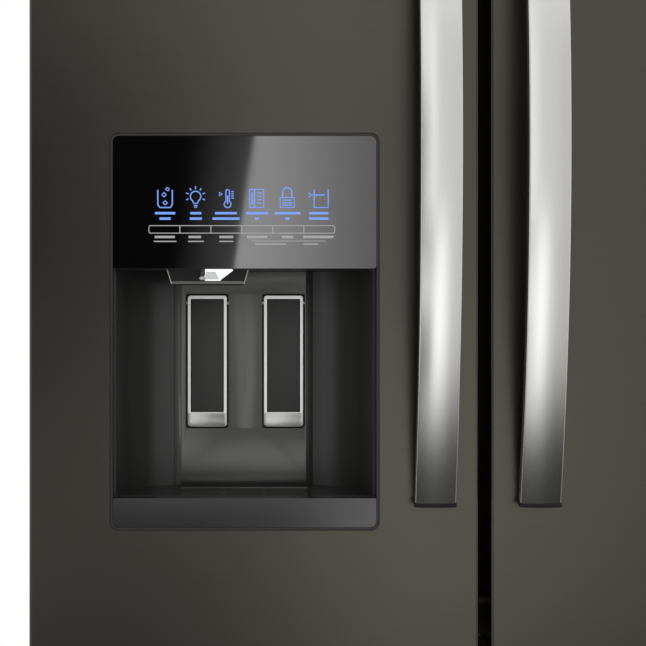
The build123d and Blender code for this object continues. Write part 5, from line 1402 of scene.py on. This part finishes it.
@dataclass
class Fasteners:
    """The screws, nuts and end caps of hinges, covers, panels, handles and legs."""

    hinge_holes: tuple[Point, ...] = ((34.0, 84.0), (66.0, 84.0), (50.0, 50.0))
    centre_holes: tuple[Point, ...] = ((402.0, 721.6), (430.0, 738.2))
    side_x: float = 425.0
    back_levels: tuple[float, ...] = (352.0, 690.0, 1030.0, 1370.0, 1710.0)
    back_top: float = 1722.0
    foot_inset: float = 22.0
    bar_bow: float = 42.0
    cap_length: float = 4.4
    cap_profile: tuple[Point, ...] = ((-20.6, 13.5), (-20.6, 1.0), (-10.3, -0.1), (0.0, -0.5),
                                      (10.3, -0.1), (20.6, 1.0), (20.6, 13.5))
    leg_x: float = 372.0
    leg_y: float = -261.0
    turns: int = 8
    pitch: float = 1.6

    def fit(self, name: str, places: Sequence[Point3], axis: Vector, head_mm: float, body: str = "cabinet") -> None:
        """Puts in one piece's screws.

        Args:
            name: the piece's name.
            places: each screw's seat, in mm.
            axis: the direction that the heads face.
            head_mm: the radius of a head.
            body: the CAD body that they ride on.
        """
        settle(screws(places, axis, head_mm), name, Finish.STEEL_SCREW, body)

    def hinges(self) -> None:
        """Puts three screws in each top hinge and two in each centre hinge."""
        low, high = low_high("outer_wrap")
        self.fit("top_hinge_screws", [(side * (high[0] - x), low[1] + y, high[2] + 3) for side in (-1, 1)
                                      for x, y in self.hinge_holes], UP, 5.0)
        self.fit("centre_hinge_screws", [(side * x, low[1] - 3, z) for side in (-1, 1)
                                         for x, z in self.centre_holes], -REARWARD, 3.4)

    def rear(self) -> None:
        """Puts the screws round the back sheet and round the machine cover."""
        face = low_high("back_panel")[1][1] - 4.0
        places = [(side * self.side_x, face, z) for side in (-1, 1) for z in self.back_levels]
        places += [(x, face, self.back_top) for x in (-210.0, 0.0, 210.0)]
        self.fit("back_panel_screws", places, REARWARD, 4.5)
        face = low_high("machine_cover")[1][1]
        places = [(side * self.side_x, face, z) for side in (-1, 1) for z in (50.0, 300.0)]
        places += [(x, face, z) for x in (-140.0, 140.0) for z in (50.0, 306.0)]
        self.fit("machine_cover_screws", places, REARWARD, 4.5)

    def handles(self) -> None:
        """Puts a set screw in the side of each handle's foot."""
        inset = self.foot_inset
        for door in ("left_door", "right_door"):
            low, high = low_high(f"{door}_handle")
            inward = 1 if low[0] > 0 else -1
            x, y = (low[0] + high[0]) / 2 + inward * 15.0, high[1] - 7.5
            self.fit(f"{door}_handle_set_screws", [(x, y, low[2] + inset), (x, y, high[2] - inset)], inward * RIGHT,
                     2.4, door)
        low, high = low_high("freezer_handle")
        y, z = high[1] - 7.5, (low[2] + high[2]) / 2 - 15.0
        self.fit("freezer_handle_set_screws", [(low[0] + inset, y, z), (high[0] - inset, y, z)], -UP, 2.4,
                 "freezer_drawer")

    def end_caps(self) -> None:
        """Makes a thin cap over each end of every handle, square to the bow of its bar; its dead black paints the shade
        of the band at the handle's end.
        """
        for node, body, along, across in (("left_door_handle", "left_door", UP, RIGHT),
                                          ("right_door_handle", "right_door", UP, RIGHT),
                                          ("freezer_handle", "freezer_drawer", RIGHT, -UP)):
            low, high = (Vector(corner) for corner in low_high(node))
            middle = (low + high) / 2
            middle.y = low.y + self.bar_bow
            half = (high - low).dot(along) / 2
            lean = 2 * math.atan(self.bar_bow / half)
            caps = []
            for end in (-1, 1):
                way = along * math.cos(lean) + Vector((0, end * math.sin(lean), 0))
                cap = moulding(self.cap_profile, (0, 0, 0), self.cap_length, Axis.Z, 0.2)
                place = middle + along * (end * half) - way * (end * (self.cap_length / 2 - 0.3))
                turn = Matrix((across, way.cross(across), way)).transposed().to_4x4()
                cap.matrix_world = Matrix.Translation(place * MM) @ turn
                caps.append(cap)
            # painted shade: the caps are dead black to stand in for the shaded band at each handle's end
            settle(joined(caps), f"{node}_end_caps", Finish.END_CAP_PAINTED_SHADE, body)

    def legs(self) -> None:
        """Makes the thread and the lock nut on each levelling leg."""
        thread = [(6.05, 0.0)]
        for turn in range(self.turns):
            thread += [(6.9, turn * self.pitch + 0.5), (6.1, turn * self.pitch + 1.3)]
        ridge = turned(thread, (self.leg_x, self.leg_y, 10.0), UP, 24)
        nut = turned([(9.2, 0), (10.2, 0.8), (10.2, 4.6), (9.2, 5.4), (6.2, 5.4)], (self.leg_x, self.leg_y, 17.6),
                     UP, 6)
        legs = repeated(joined([ridge, nut]), [(-2 * self.leg_x, 0, 0)])
        settle(legs, "leg_threads_and_nuts", Finish.STEEL_SCREW, "cabinet")

    def build(self) -> None:
        """Makes the fasteners."""
        for part in (self.hinges, self.rear, self.handles, self.end_caps, self.legs):
            part()


@dataclass
class Machinery:
    """Tubes and covers in the machine compartment, and what holds the water valve and the gland."""

    coil_right: float = -78.0
    coil_rows: tuple[float, ...] = (69.5, 113.5, 157.5, 201.5)
    coil_columns: Point = (297.0, 367.0)
    bend_reach: Point = (16.0, 26.0)
    cover_place: Point3 = (230.0, 418.0, 128.0)
    valve_top: float = 204.0
    valve_screws: Point = (36.0, 48.0)
    gland: Point = (-384.0, 180.0)
    body: str = "cabinet"

    def tubes(self) -> None:
        """Makes the discharge tube from the compressor to the coil, and the coil's return bends."""
        left, right = low_high("condenser_unit")[0][0], self.coil_right
        rows, near = self.coil_rows, self.coil_columns[0]
        discharge = pipe([(190, 292, 222), (190, 292, 262), (150, 293, 272), (20, 295, 272), (-50, 297, 270),
                          (-66, 297, 250), (-66, 297, 212), (right + 6, near, rows[3]), (right, near, rows[3])], 3.4)
        settle(discharge, "discharge_tube", Finish.COPPER, self.body)
        bends = []
        for y in self.coil_columns:
            for low, high, x, side in ((rows[0], rows[1], left, -1), (rows[2], rows[3], left, -1),
                                       (rows[1], rows[2], right, 1)):
                bend, crown = (x + side * reach for reach in self.bend_reach)
                bends.append(pipe([(x, y, low), (bend, y, low), (crown, y, (low + high) / 2), (bend, y, high),
                                   (x, y, high)], 4.2))
        settle(joined(bends), "coil_return_bends", Finish.ALUMINIUM, self.body)

    def terminal_cover(self) -> None:
        """Makes the clipped cover over the compressor's terminals."""
        cover = moulding([(-26, -22), (26, -22), (26, 18), (20, 24), (-20, 24), (-26, 18)], self.cover_place, 18,
                         Axis.Y, 2.0)
        settle(cover, "compressor_terminal_cover", Finish.BLACK_ABS, self.body)

    def valve(self) -> None:
        """Makes the water valve's corner screws and the cord gland's clamp ring."""
        high = low_high("rear_fittings")[1]
        right, face, top = high[0] - 8.0, high[1] - 12.0, self.valve_top
        width, height = self.valve_screws
        places = [(right, face, top), (right - width, face, top), (right, face, top - height),
                  (right - width, face, top - height)]
        settle(screws(places, REARWARD, 3.2), "valve_screws", Finish.STEEL_SCREW, self.body)
        x, z = self.gland
        ring = turned([(9.2, 0), (11.2, 0.6), (11.2, 4.4), (9.2, 5.0)],
                      (x, low_high("machine_cover")[1][1] + 8.0, z), REARWARD, 6)
        settle(ring, "cord_gland_nut", Finish.BLACK_ABS, self.body)

    def build(self) -> None:
        """Makes the machinery's pieces."""
        self.tubes()
        self.terminal_cover()
        self.valve()


def main() -> None:
    """Builds the studio and every sub-assembly, in order."""
    logging.basicConfig(level=logging.INFO, format="%(message)s")
    Studio().build()
    for finish, nodes in NODE_FINISHES.items():
        for node in nodes:
            dress_node(node, finish)
    for assembly in (ControlPanel(), Dispenser(), Cabin(), Storage(), Fasteners(), Machinery()):
        assembly.build()
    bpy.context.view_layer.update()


if __name__ == "__main__":
    main()
